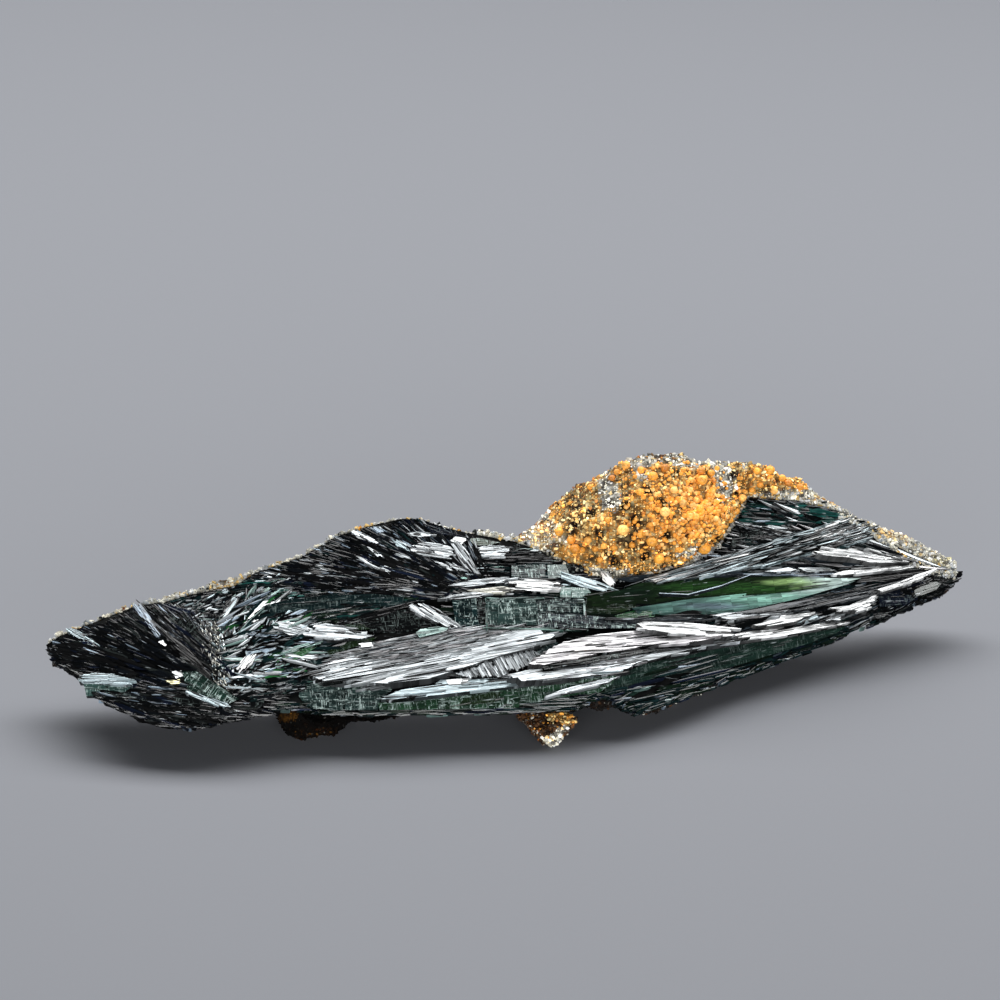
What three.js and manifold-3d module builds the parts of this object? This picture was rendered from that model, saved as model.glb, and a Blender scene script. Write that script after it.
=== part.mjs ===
// A cabinet specimen of vivianite: a plate of dark green blades grown together on a rind of brown,
// nodular matrix, with two more patches of that matrix under its front edge. It lies on three points,
// the two patches and the foot of the rind behind. Millimetres, +Z up, +X along the specimen.
import * as THREE from "three";
import { LoftGeometry } from "three/addons/geometries/LoftGeometry.js";
import { ImprovedNoise } from "three/addons/math/ImprovedNoise.js";
import { mergeVertices } from "three/addons/utils/BufferGeometryUtils.js";
import Module from "manifold-3d";

// ---- Driving dimensions, in millimetres and degrees ----
// The display face is drawn as it looks from an eye in front of it and above it. Places on it are
// columns to the right and rows down of that drawing, on a sheet whose middle faces the eye.
const STEP = 0.131; // width of one column at the middle of the specimen, which is 917 columns long
const SHEET_MIDDLE = 500; // column and row that face the eye
const EYE_DISTANCE = 600;
const EYE_ABOVE_LEVEL = 22;
const AIM = new THREE.Vector3(0, 17, 28.7); // the point that the middle of the sheet shows
const ORIGIN = new THREE.Vector2(1.95, 19.83); // the middle of the specimen's footprint

const GAP = 0.3; // between the crystals and the matrix that carries them
const FACE_BULGE = 1.4; // how far the middle of the face stands out from a flat one
const FULL_HEIGHT = 60; // rows of face from which the plate has its full thickness
const CLEAR_OVER_FACE = 7; // room kept clear of matrix in front of the face
const CLEAR_BELOW_FOOT = 6; // and below its foot edge
const BLADE_ROOT = 1.4; // how deep a blade is sunk into the plate
const NODULE = 0.7; // radius of a common nodule
const BIG_NODULE = 1;

// ---- Edges of the display face, left to right: column, row, depth from the front in millimetres ----
const CRYSTAL_TOP = [
  [40, 646.5, 12.9], [46, 645, 13], [60, 636, 13.6], [100, 620, 15.3], [135, 606, 16.4],
  [165, 602, 17.4], [200, 593, 18.4], [235, 586, 19.4], [255, 573, 20], [300, 558, 20.9],
  [335, 537, 21.6], [370, 526, 22.3], [400, 519, 22.8], [418, 519, 23], [450, 529, 23.3],
  [478, 535, 23.7], [512, 541, 24], [530, 547, 24], [546, 556, 23.6], [568, 567, 22.8],
  [600, 577, 21.6], [625, 580, 21.4], [650, 575, 22], [690, 565, 24], [720, 545, 28],
  [736, 519, 31.6], [748, 500, 33.8], [770, 499, 34.2], [825, 508, 35.2], [850, 518, 35.7],
  [870, 531, 36], [900, 553, 36.5], [925, 566, 36.9], [945, 572, 37.2], [963, 571, 37.6], [970, 572, 37.8],
];
const CRYSTAL_FOOT = [
  [40, 648.5, 12.75], [46, 650, 12.2], [60, 659, 10], [82, 672, 5.5], [100, 690, 1.6], [130, 706, -0.8],
  [160, 718, -2.6], [185, 721, -3], [215, 716, -2.6], [250, 708, -1.4], [300, 704, -0.2],
  [318, 711, 0.3], [380, 711, 0.5], [450, 710, 1], [520, 709, 1.5], [575, 707, 2], [592, 700, 3.2],
  [605, 692, 5.4], [620, 698, 5.2], [632, 711, 4.8], [648, 709, 5.6], [670, 699, 7.8], [700, 690, 10.8],
  [720, 680, 13.4], [745, 670, 16.6], [770, 662, 19.2], [806, 648, 22.5], [830, 640, 24.6],
  [850, 624, 26.8], [880, 620, 29.4], [905, 606, 31.8], [918, 598, 33], [942, 588, 35], [950, 577, 36.6],
  [963, 575, 37.4], [970, 574, 37.6],
];
const SKYLINE = [
  [40, 646, 13], [46, 643, 13.4], [60, 633, 14.2], [100, 617, 16], [135, 603, 17.4], [150, 601, 17.8],
  [165, 593, 18.8], [200, 585, 19.8], [225, 575, 21], [245, 578, 20.8], [255, 567, 21.2],
  [300, 556, 22], [320, 545, 22.6], [335, 535, 23], [370, 524, 23.8], [400, 517, 24.2],
  [418, 517, 24.4], [450, 527, 24.8], [462, 533, 24.8], [478, 529, 25.4], [500, 531, 25.8],
  [513, 536, 26], [530, 525, 27.4], [552, 519, 28.2], [559, 500, 28.8], [575, 483, 29.4],
  [595, 477, 29.4], [605, 470, 29.4], [620, 460, 29.2], [650, 452, 29.6], [680, 451, 30.4],
  [700, 459, 31.4], [725, 459, 32.4], [745, 460, 33.2], [768, 463, 34.6], [780, 474, 35.6],
  [800, 476, 36.4], [812, 488, 37], [830, 500, 37.4], [860, 518, 37.8], [900, 532, 38.6],
  [920, 540, 38.8], [945, 553, 39], [958, 563, 38.6], [970, 571, 38.2],
];
// How far the rind goes down behind the face, as a share of it, and how thick it is there.
const RIND = [
  [40, 0.5, 0.9], [60, 0.55, 1.6], [120, 0.5, 2.6], [220, 0.45, 4], [320, 0.5, 5], [440, 0.6, 7],
  [560, 0.72, 11], [640, 0.78, 13], [720, 0.8, 12], [800, 0.82, 8.5], [880, 0.8, 5.5], [940, 0.7, 3.4],
  [970, 0.6, 1.6],
];
// Down the rind's own face, down behind the crystals and up its back: shares of the way, and for the
// back the share of its thickness that it has there.
const OWN_ROWS = [0, 0.14, 0.32, 0.52, 0.74, 0.96];
const HIDDEN_ROWS = [0.06, 0.5, 1];
const BACK_ROWS = [[1, 0.55], [0.7, 1], [0.36, 1], [0.06, 0.9]];
// How far the lump on the rind stands out from a straight line between its top and its foot.
const LUMP_BULGE = [
  [40, 0], [520, 0], [560, 0.8], [600, 2], [660, 3], [720, 2], [760, 0.8], [820, 0.5], [970, 0.3],
];

// Shares of the way down the face where each section has a point, and how thick the crystals are there.
const FACE_ROWS = [0, 0.25, 0.55, 0.85, 1];
const CRYSTAL_THICKNESS = [0.8, 2.8, 4.4, 4.2, 2.6];
const SECTION_COLUMNS = [
  46, 60, 82, 100, 118, 135, 160, 185, 210, 235, 255, 278, 300, 318, 350, 385, 418, 450, 480, 512, 546,
  575, 592, 605, 620, 632, 648, 670, 690, 705, 720, 736, 748, 770, 806, 830, 850, 880, 905, 920, 942,
  952, 963,
];
const RIND_COLUMNS = [
  48, 60, 100, 135, 150, 165, 200, 225, 245, 255, 300, 335, 370, 400, 430, 462, 478, 500, 513, 530, 552,
  559, 575, 590, 605, 620, 650, 680, 700, 720, 735, 748, 768, 780, 800, 812, 830, 860, 880, 900, 920,
  945, 958,
];

// ---- Blade outlines: share of the length, share of the width ----
const LEAF = [[0, 0], [0.3, 0.42], [0.75, 0.4], [1, 0], [0.62, -0.48], [0.22, -0.4]];
const LATH = [[0, 0.1], [0.07, 0.5], [1, 0.2], [0.93, -0.5], [0.04, -0.46]];
const SLAB = [[0.02, 0.5], [1, 0.46], [0.98, -0.5], [0, -0.46]];
const SPLINTER = [[0, -0.5], [0.03, 0.5], [1, -0.1]];

// ---- Single blades: from column, row to column, row; width in columns; roll in degrees, positive where
// the upper edge is raised; lift over the face in millimetres; outline ----
const BLADES = [
  // left fan
  [134, 607, 161, 641, 9, -12, 0.7, SPLINTER], [154, 627, 208, 673, 9, -8, 0.8, LATH],
  [151, 614, 214, 646, 15, 16, 0.5, LATH], [203, 626, 241, 698, 17, -8, 0.5, LATH],
  [186, 684, 243, 700, 26, -6, 0.8, SPLINTER],
  [83, 685, 131, 684, 23, -4, 1.3, SLAB], [64, 668, 150, 672, 9, 6, 0.9, LATH],
  [97, 695, 200, 698, 11, 8, 0.8, LATH], [127, 706, 232, 704, 12, -6, 0.9, LATH],
  [151, 717, 256, 709, 14, 8, 0.9, LATH], [161, 726, 245, 717, 9, -8, 1, LEAF],
  // under the dark crest
  [357, 557, 392, 573, 8, -8, 0.9, LATH], [413, 545, 455, 555, 12, -6, 0.7, LATH],
  [453, 537, 477, 572, 18, -6, 1.4, LEAF],
  [268, 606, 406, 601, 22, 15, 0.7, LATH], [245, 618, 281, 601, 15, -10, 0.9, LEAF],
  [274, 622, 313, 635, 13, -8, 0.8, LEAF], [308, 627, 376, 636, 19, -7, 1, LEAF],
  [276, 659, 323, 642, 15, 14, 0.9, LEAF],
  [238, 668, 264, 654, 15, -8, 0.9, SLAB], [409, 609, 458, 627, 19, -5, 1.1, LEAF],
  [416, 635, 450, 629, 10, 5, 1.1, LEAF],
  // pearly sheets of the middle
  [318, 688, 560, 634, 48, -3, 0.9, LATH], [299, 690, 388, 697, 34, 9, 1, SLAB],
  [378, 699, 642, 664, 18, -4, 1.2, LATH], [378, 703, 618, 692, 22, 24, 0.9, LATH],
  [538, 697, 618, 676, 10, -4, 1.5, SPLINTER], [454, 679, 563, 640, 23, -10, 1.4, LEAF],
  [528, 662, 740, 637, 26, -3, 1.5, LATH], [562, 641, 729, 631, 20, -4, 1.6, SLAB],
  [500, 672, 645, 663, 13, 5, 1.3, LATH],
  // glassy, cross-cracked blocks
  [452, 612, 484, 612, 29, 20, 1.2, SLAB], [486, 612, 585, 613, 31, 20, 1.2, SLAB],
  [583, 615, 650, 622, 22, 20, 1, SPLINTER], [511, 570, 547, 570, 17, 16, 1, SLAB],
  [547, 570, 569, 569, 15, 6, 1.1, SLAB], [560, 591, 592, 592, 15, 4, 1.2, SLAB],
  [477, 549, 513, 546, 11, -5, 0.9, LATH], [449, 582, 511, 578, 8, -5, 0.9, LATH],
  [508, 584, 562, 587, 15, -6, 1.1, LATH],
  [563, 576, 621, 590, 16, -8, 1, SPLINTER], [587, 569, 619, 586, 18, -8, 1, SPLINTER],
  // long green blades of the right half
  [608, 594, 862, 582, 36, 11, 0.9, LEAF], [638, 611, 867, 580, 22, -4, 1.2, LEAF],
  [612, 682, 700, 668, 32, 17, 0.7, LATH], [668, 676, 850, 634, 34, 17, 0.8, LATH],
  [636, 700, 700, 684, 16, 8, 0.8, LATH], [596, 690, 640, 680, 16, 10, 0.8, SPLINTER],
  [648, 577, 852, 525, 15, -6, 0.8, LATH], [716, 619, 802, 614, 9, -5, 0.8, LATH],
  [728, 634, 848, 621, 13, -6, 0.9, LATH], [818, 553, 914, 560, 17, -6, 1, LEAF],
  [816, 606, 880, 591, 15, -8, 0.9, SPLINTER],
  [850, 614, 917, 601, 17, 12, 0.8, LEAF], [880, 604, 930, 587, 15, 14, 0.9, LEAF],
  [902, 597, 950, 578, 23, 10, 0.9, LEAF], [926, 573, 965, 573, 11, 8, 0.5, LEAF],
  [746, 508, 852, 518, 15, 14, 0.6, LATH], [734, 530, 848, 523, 15, 12, 0.6, LATH],
];

// ---- Fans of laths: focus, nearest and farthest angle (degrees, 180 is to the left, 90 is up) ----
const FANS = [
  { focus: [262, 703], start: 60, angles: [140, 188], count: 10, width: 18, roll: 12, lift: 0.55 },
  { focus: [476, 594], start: 30, angles: [122, 176], count: 8, width: 22, roll: 11, lift: 0.5 },
  { focus: [948, 575], start: 28, angles: [161, 206], count: 8, width: 13, roll: 11, lift: 0.5 },
];

// ---- Larger nodules of the matrix: column, row ----
const NODULES = [
  [623, 530], [575, 549], [571, 540], [652, 542], [659, 559], [704, 548], [702, 480], [701, 471], [653, 476],
  [665, 468], [626, 465], [665, 512], [683, 503], [700, 508], [709, 518], [742, 497], [770, 470], [788, 483],
  [774, 491], [721, 527], [690, 535], [674, 490], [640, 492], [612, 478], [590, 487], [614, 548], [600, 560],
];
const BIG_NODULES = 8; // the first of them

// ---- Library ----
const wasm = await Module();
wasm.setup();

const eyeTilt = THREE.MathUtils.degToRad(EYE_ABOVE_LEVEL);
const FORWARD = new THREE.Vector3(0, Math.cos(eyeTilt), -Math.sin(eyeTilt));
const UPWARD = new THREE.Vector3(0, Math.sin(eyeTilt), Math.cos(eyeTilt));
const EYE = AIM.clone().addScaledVector(FORWARD, -EYE_DISTANCE);
const { lerp, clamp } = THREE.MathUtils;
const noise = new ImprovedNoise();

/** A repeatable number from 0 to 1 for a whole number. */
function chance(seed) {
  const wave = Math.sin(seed * 127.1 + 11.7) * 43758.5453;
  return wave - Math.floor(wave);
}

/** The values that a table of [column, ...values] has at a column. */
function tableAt(table, column) {
  const found = table.findIndex((entry) => entry[0] >= column);
  const next = found < 0 ? table.length - 1 : Math.max(found, 1);
  const [before, after] = [table[next - 1], table[next]];
  const share = clamp((column - before[0]) / (after[0] - before[0]), 0, 1);
  return before.slice(1).map((value, i) => lerp(value, after[i + 1], share));
}

/** The point at a depth that the drawing shows at a column and row. */
function atDepth(column, row, depth) {
  const spread = STEP / EYE_DISTANCE;
  const ray = FORWARD.clone().addScaledVector(UPWARD, (SHEET_MIDDLE - row) * spread);
  ray.x = (column - SHEET_MIDDLE) * spread;
  return EYE.clone().addScaledVector(ray, (depth - EYE.y) / ray.y);
}

/** How near the plate is to its full height at a column, from 0 to 1. */
function fullness(column) {
  const height = tableAt(CRYSTAL_FOOT, column)[0] - tableAt(CRYSTAL_TOP, column)[0];
  return clamp(height / FULL_HEIGHT, 0.1, 1);
}

/** The point of the crystal face at a column and row, on its straight continuation past the edges. */
function onFace(column, row) {
  const [topRow, topDepth] = tableAt(CRYSTAL_TOP, column);
  const [footRow, footDepth] = tableAt(CRYSTAL_FOOT, column);
  const share = (row - topRow) / (footRow - topRow);
  const bulge = FACE_BULGE * fullness(column) * 4 * Math.max(0, share * (1 - share));
  return atDepth(column, row, lerp(topDepth, footDepth, share) - bulge);
}

/** Up the face and out of it, as unit vectors square to +X, at a column. */
function faceAxes(column) {
  const [topRow, topDepth] = tableAt(CRYSTAL_TOP, column);
  const [footRow, footDepth] = tableAt(CRYSTAL_FOOT, column);
  const up = atDepth(column, topRow, topDepth).sub(atDepth(column, footRow, footDepth));
  up.x = 0;
  up.normalize();
  return { up, out: new THREE.Vector3(0, -up.z, up.y) };
}

/** A closed three.js geometry as a solid that can be joined and cut. */
function solidOf(geometry) {
  const bare = geometry.index ? geometry.toNonIndexed() : geometry.clone();
  bare.deleteAttribute("normal");
  bare.deleteAttribute("uv");
  const merged = mergeVertices(bare, 1e-4);
  const vertProperties = merged.attributes.position.array;
  const triVerts = new Uint32Array(merged.index.array);
  return new wasm.Manifold(new wasm.Mesh({ numProp: 3, vertProperties, triVerts }));
}

/** A solid through sections that all run the same way round. */
function loft(sections) {
  return solidOf(new LoftGeometry(sections, { capStart: true, capEnd: true }));
}

/** A named mesh of a solid. */
function meshOf(name, solid, color, roughness) {
  const { vertProperties, triVerts } = solid.getMesh();
  const geometry = new THREE.BufferGeometry();
  geometry.setAttribute("position", new THREE.BufferAttribute(vertProperties, 3));
  geometry.setIndex(new THREE.BufferAttribute(triVerts, 1));
  const mesh = new THREE.Mesh(geometry, new THREE.MeshStandardMaterial({ color, roughness, metalness: 0 }));
  mesh.name = name;
  return mesh;
}

// ---- Crystals ----

/** One section of the plate of crystals: down the face, then back up behind it. */
function crystalSection(column) {
  const [topRow] = tableAt(CRYSTAL_TOP, column);
  const [footRow] = tableAt(CRYSTAL_FOOT, column);
  const { out } = faceAxes(column);
  const tall = fullness(column);
  const front = FACE_ROWS.map((share) => onFace(column, lerp(topRow, footRow, share)));
  const back = front.map((point, i) => point.clone().addScaledVector(out, -CRYSTAL_THICKNESS[i] * tall));
  return [...front, ...back.reverse()];
}

/** The room that the crystals have, grown by a gap at the top and behind, and open to the front. */
function crystalRoom(gap) {
  const ends = [SECTION_COLUMNS[0] - 30, ...SECTION_COLUMNS, SECTION_COLUMNS.at(-1) + 30];
  return loft(
    ends.map((column) => {
      const [topRow] = tableAt(CRYSTAL_TOP, column);
      const [footRow] = tableAt(CRYSTAL_FOOT, column);
      const { up, out } = faceAxes(column);
      const tall = fullness(column);
      const last = FACE_ROWS.length - 1;
      const rows = FACE_ROWS.map((share) => onFace(column, lerp(topRow, footRow, share)));
      const deep = CRYSTAL_THICKNESS.map((thickness) => thickness * tall + gap);
      const back = rows.map((point, i) => point.clone().addScaledVector(out, -deep[i]));
      back[0].addScaledVector(up, gap);
      const below = back[last].clone().addScaledVector(up, -CLEAR_BELOW_FOOT);
      const front = [rows[0].clone().addScaledVector(up, gap)];
      front.push(rows[last].clone().addScaledVector(up, -CLEAR_BELOW_FOOT));
      const lifted = front.map((point) => point.addScaledVector(out, CLEAR_OVER_FACE));
      return [...lifted, below, ...back.reverse()];
    }),
  );
}

/** A blade lying on the face, sunk into it by its thickness. */
function blade([column, row, endColumn, endRow, width, roll, lift, outline]) {
  const start = onFace(column, row);
  const along = onFace(endColumn, endRow).sub(start);
  const length = along.length();
  along.normalize();
  const out = faceAxes((column + endColumn) / 2).out;
  out.addScaledVector(along, -out.dot(along)).normalize();
  out.applyAxisAngle(along, THREE.MathUtils.degToRad(roll));
  const across = new THREE.Vector3().crossVectors(out, along);
  const thickness = lift + BLADE_ROOT;
  const shape = new THREE.Shape(outline.map(([x, y]) => new THREE.Vector2(x * length, y * width * STEP)));
  const geometry = new THREE.ExtrudeGeometry(shape, { depth: thickness, bevelEnabled: false });
  const place = new THREE.Matrix4().makeBasis(along, across, out);
  place.setPosition(start.addScaledVector(out, lift - thickness));
  return solidOf(geometry.applyMatrix4(place));
}

/** Laths that spread from a focus to the edge of the face, rolled to and fro. */
function fan({ focus, start, angles, count, width, roll, lift }) {
  const laths = [];
  for (let i = 0; i < count; i++) {
    const angle = THREE.MathUtils.degToRad(lerp(angles[0], angles[1], (i + 0.5) / count));
    const [dx, dy] = [Math.cos(angle), -Math.sin(angle)];
    let reach = start + 20;
    while (reach < 260) {
      const [column, row] = [focus[0] + dx * reach, focus[1] + dy * reach];
      const inside = row > tableAt(CRYSTAL_TOP, column)[0] + 2 && row < tableAt(CRYSTAL_FOOT, column)[0];
      if (!inside) break;
      reach += 2;
    }
    const near = start + 34 * chance(i + count);
    const side = i % 2 ? 1 : -1;
    const ends = [focus[0] + dx * reach, focus[1] + dy * reach, focus[0] + dx * near, focus[1] + dy * near];
    if (ends[0] > ends[2]) ends.unshift(...ends.splice(2));
    const rise = lift * (0.6 + 0.8 * chance(i * 3 + count));
    laths.push([...ends, width * (0.8 + 0.5 * chance(i)), side * roll, rise, i % 3 ? LATH : LEAF]);
  }
  return laths;
}

function crystals() {
  const blades = [...FANS.flatMap(fan), ...BLADES].map(blade);
  const grown = blades.reduce((all, next) => all.add(next), loft(SECTION_COLUMNS.map(crystalSection)));
  return grown.intersect(crystalRoom(0));
}

// ---- Matrix ----

/** Moves a point about, by up to an amount, as rough ground does. */
function roughen(point, amount, size = 3.2) {
  const [x, y, z] = point.toArray().map((value) => value / size);
  point.x += amount * noise.noise(x + 9.3, y, z);
  point.y += amount * noise.noise(x, y + 5.1, z);
  point.z += amount * noise.noise(x, y, z + 7.7);
  return point;
}

/** One section of the rind: from the skyline down its own face, behind the crystals, and up its back. */
function rindSection(column) {
  const [crestRow, crestDepth] = tableAt(SKYLINE, column);
  const [topRow, topDepth] = tableAt(CRYSTAL_TOP, column);
  const [footRow] = tableAt(CRYSTAL_FOOT, column);
  const [reach, thickness] = tableAt(RIND, column);
  const [bulge] = tableAt(LUMP_BULGE, column);
  const { up, out } = faceAxes(column);
  const own = OWN_ROWS.map((share) => {
    const depth = lerp(crestDepth, topDepth + 0.2, share) - bulge * Math.sin(Math.PI * share ** 0.8);
    const rough = share > 0.9 || !share ? 0 : 0.3 * bulge;
    return roughen(atDepth(column, lerp(crestRow, topRow, share), depth), rough);
  });
  const behind = HIDDEN_ROWS.map((share) =>
    onFace(column, lerp(topRow, footRow, share * reach)).addScaledVector(out, share < 0.1 ? -0.6 : -2),
  );
  const back = BACK_ROWS.map(([share, full]) => {
    const deep = onFace(column, lerp(topRow, footRow, share * reach));
    deep.addScaledVector(out, -thickness * full - 3);
    return roughen(roughen(deep, Math.min(1.4, thickness * 0.25)), Math.min(3, thickness * 0.3), 9);
  });
  const shoulder = own[0].clone().addScaledVector(out, -thickness * 0.5).addScaledVector(up, -0.4);
  return [...own, ...behind, ...back, roughen(shoulder, Math.min(0.8, thickness * 0.1))];
}

/** A rough lump round a middle, cut flat where it stands. */
function boulder(middle, radii, rough, detail = 3) {
  const geometry = new THREE.IcosahedronGeometry(1, detail);
  const places = geometry.attributes.position;
  for (let i = 0; i < places.count; i++) {
    const point = new THREE.Vector3().fromBufferAttribute(places, i).multiply(radii).add(middle);
    roughen(point, rough);
    places.setXYZ(i, point.x, point.y, point.z);
  }
  return solidOf(geometry);
}

/** A slab under the surface that the specimen lies on, which cuts a foot flat. */
function underfoot() {
  return solidOf(new THREE.BoxGeometry(200, 200, 20).translate(0, 0, -10));
}

/** The nodules that stand out of the lump. */
function nodules() {
  return NODULES.map(([column, row], i) => {
    const [crestRow, crestDepth] = tableAt(SKYLINE, column);
    const [topRow, topDepth] = tableAt(CRYSTAL_TOP, column);
    const share = clamp((row - crestRow) / (topRow - crestRow), 0, 1);
    const [bulge] = tableAt(LUMP_BULGE, column);
    const depth = lerp(crestDepth, topDepth, share) - bulge * Math.sin(Math.PI * share ** 0.8);
    const radius = i < BIG_NODULES ? BIG_NODULE : NODULE * (0.8 + 0.5 * chance(i));
    const place = atDepth(column, row, depth + radius * 0.3);
    const ball = new THREE.IcosahedronGeometry(radius, i < BIG_NODULES ? 1 : 0);
    return solidOf(ball.translate(...place.toArray()));
  });
}

function nodularMatrix() {
  const rind = loft(RIND_COLUMNS.map(rindSection));
  const backFoot = boulder(new THREE.Vector3(20, 29.5, 12.5), new THREE.Vector3(18, 9.5, 14.5), 2.4);
  const whole = nodules().reduce((all, nodule) => all.add(nodule), rind.add(backFoot));
  return whole.subtract(crystalRoom(GAP)).subtract(underfoot());
}

function leftFoot() {
  const heel = boulder(new THREE.Vector3(-24.2, 6.4, 3.4), new THREE.Vector3(5.8, 5.2, 4.2), 1.4, 2);
  const arm = boulder(new THREE.Vector3(-17, 6, 4.6), new THREE.Vector3(7, 4.4, 2.6), 1.2, 1);
  return heel.add(arm).subtract(crystalRoom(GAP)).subtract(underfoot());
}

function middleFoot() {
  const lump = boulder(new THREE.Vector3(6.9, 4.4, 3), new THREE.Vector3(3.8, 4.6, 4.2), 1.3, 2);
  const root = boulder(new THREE.Vector3(4, 4.6, 4.6), new THREE.Vector3(3.2, 3.6, 2), 0.8, 1);
  return lump.add(root).subtract(crystalRoom(GAP)).subtract(underfoot());
}

// ---- Specimen ----
const specimen = new THREE.Group();
specimen.add(meshOf("vivianite_crystals", crystals(), 0x1b2a2a, 0.2));
specimen.add(meshOf("nodular_matrix", nodularMatrix(), 0xb27a35, 0.85));
specimen.add(meshOf("left_foot", leftFoot(), 0x4a3c30, 0.9));
specimen.add(meshOf("middle_foot", middleFoot(), 0x9a7040, 0.9));
specimen.position.set(-ORIGIN.x, -ORIGIN.y, 0);

export default specimen;
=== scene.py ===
"""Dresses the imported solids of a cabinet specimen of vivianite.

The display face is a plate of dark green crystals that grew together: broad cleaved blades with a pearly
sheen, glassy blocks with cross cracks, and thousands of thin laths that fan out from a few points. Behind
it lies a rind of brown matrix with a lump of ochre nodules, and two more patches of matrix carry the
front edge. Everything is worked out in millimetres and written in metres.
"""

import logging
import math
from bisect import bisect_left
from dataclasses import dataclass, field
from enum import Enum
from functools import partial
from random import Random
from typing import Callable

import bmesh
import bpy
import numpy as np
from mathutils import Matrix, Quaternion, Vector, noise
from mathutils.bvhtree import BVHTree


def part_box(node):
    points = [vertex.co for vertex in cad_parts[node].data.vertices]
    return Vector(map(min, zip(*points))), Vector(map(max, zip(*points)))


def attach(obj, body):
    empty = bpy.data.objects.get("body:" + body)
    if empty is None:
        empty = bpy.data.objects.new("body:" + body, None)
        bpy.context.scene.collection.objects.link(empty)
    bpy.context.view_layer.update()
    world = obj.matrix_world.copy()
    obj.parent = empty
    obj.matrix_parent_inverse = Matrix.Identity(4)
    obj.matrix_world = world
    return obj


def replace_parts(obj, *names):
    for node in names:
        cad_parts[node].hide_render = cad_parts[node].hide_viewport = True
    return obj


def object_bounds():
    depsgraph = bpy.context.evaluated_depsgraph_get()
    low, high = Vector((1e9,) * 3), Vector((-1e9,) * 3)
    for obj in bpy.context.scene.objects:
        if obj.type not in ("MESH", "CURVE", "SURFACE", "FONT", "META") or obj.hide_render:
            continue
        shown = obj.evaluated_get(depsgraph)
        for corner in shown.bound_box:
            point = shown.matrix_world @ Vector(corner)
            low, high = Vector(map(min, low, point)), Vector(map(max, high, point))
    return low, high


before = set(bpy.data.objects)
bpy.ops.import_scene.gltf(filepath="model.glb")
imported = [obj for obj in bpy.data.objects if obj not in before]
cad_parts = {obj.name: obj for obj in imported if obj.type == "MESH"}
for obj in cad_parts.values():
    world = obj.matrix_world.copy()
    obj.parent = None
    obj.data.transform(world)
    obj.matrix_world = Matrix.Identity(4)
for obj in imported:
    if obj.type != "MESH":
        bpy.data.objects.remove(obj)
SOLID_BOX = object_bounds()

LOG = logging.getLogger("vivianite")
MM = 0.001
SKIN = 0.01  # millimetres by which every piece stays inside the solids' box

Spot = tuple[float, float]
Span = tuple[float, float]
Table = tuple[tuple[float, ...], ...]

# ---- Edges of the display face, left to right: column, row, depth from the front in millimetres ----
# They repeat the solids' own edges. Places on the face are columns to the right and rows down of a
# drawing of it, one column being 0.131 mm wide at the middle of the specimen.
CRYSTAL_TOP: Table = (
    (40, 646.5, 12.9), (46, 645, 13), (60, 636, 13.6), (100, 620, 15.3), (135, 606, 16.4),
    (165, 602, 17.4), (200, 593, 18.4), (235, 586, 19.4), (255, 573, 20), (300, 558, 20.9),
    (335, 537, 21.6), (370, 526, 22.3), (400, 519, 22.8), (418, 519, 23), (450, 529, 23.3),
    (478, 535, 23.7), (512, 541, 24), (530, 547, 24), (546, 556, 23.6), (568, 567, 22.8),
    (600, 577, 21.6), (625, 580, 21.4), (650, 575, 22), (690, 565, 24), (720, 545, 28),
    (736, 519, 31.6), (748, 500, 33.8), (770, 499, 34.2), (825, 508, 35.2), (850, 518, 35.7),
    (870, 531, 36), (900, 553, 36.5), (925, 566, 36.9), (945, 572, 37.2), (963, 571, 37.6),
    (970, 572, 37.8),
)
CRYSTAL_FOOT: Table = (
    (40, 648.5, 12.75), (46, 650, 12.2), (60, 659, 10), (82, 672, 5.5), (100, 690, 1.6), (130, 706, -0.8),
    (160, 718, -2.6), (185, 721, -3), (215, 716, -2.6), (250, 708, -1.4), (300, 704, -0.2),
    (318, 711, 0.3), (380, 711, 0.5), (450, 710, 1), (520, 709, 1.5), (575, 707, 2), (592, 700, 3.2),
    (605, 692, 5.4), (620, 698, 5.2), (632, 711, 4.8), (648, 709, 5.6), (670, 699, 7.8), (700, 690, 10.8),
    (720, 680, 13.4), (745, 670, 16.6), (770, 662, 19.2), (806, 648, 22.5), (830, 640, 24.6),
    (850, 624, 26.8), (880, 620, 29.4), (905, 606, 31.8), (918, 598, 33), (942, 588, 35), (950, 577, 36.6),
    (963, 575, 37.4), (970, 574, 37.6),
)


class Tint(Enum):
    """Colours of the minerals, in sRGB; on the vivianite the pale ones also carry painted sheen and painted
    glow.
    """

    JET = "#030404"
    INK = "#070A0E"
    NAVY = "#0C1322"
    SLATE = "#1E2429"
    UMBER = "#0D0D0D"
    ASH = "#1E2221"
    BOTTLE = "#0B1A10"
    MOSS = "#152410"
    FERN = "#1B4A25"
    OLIVE = "#0F1C0B"
    # CHARTREUSE, REED, ICE and MEADOW are used only for the painted glow inside the green lens
    CHARTREUSE = "#B4DC8E"
    PINE = "#0B1D1E"
    LAGOON = "#16403C"
    SAGE = "#4A6861"
    MINT = "#6C8681"
    # on the vivianite, FROST to WHITE are mostly painted sheen: the pearly reflection of the light painted
    # into the colour
    FROST = "#9EAEB3"
    STEEL = "#6A7986"
    SILVER = "#ADB3B6"
    ROSE = "#BDBBBD"
    WHITE = "#DDDFDF"
    STRAW = "#E0D6A4"
    OCHRE = "#D4923A"
    AMBER = "#EFA43E"
    HONEY = "#EFCB84"
    RUST = "#A35A22"
    BARK = "#3A2413"
    CREAM = "#E2DDCB"
    CHALK = "#C9C8BC"
    SOOT = "#12100F"
    FJORD = "#20302E"
    KELP = "#12261F"
    IVY = "#1C3624"
    TARN = "#2F4743"
    REED = "#8CC0AE"
    ICE = "#D5ECE6"
    MEADOW = "#25461F"


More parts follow.
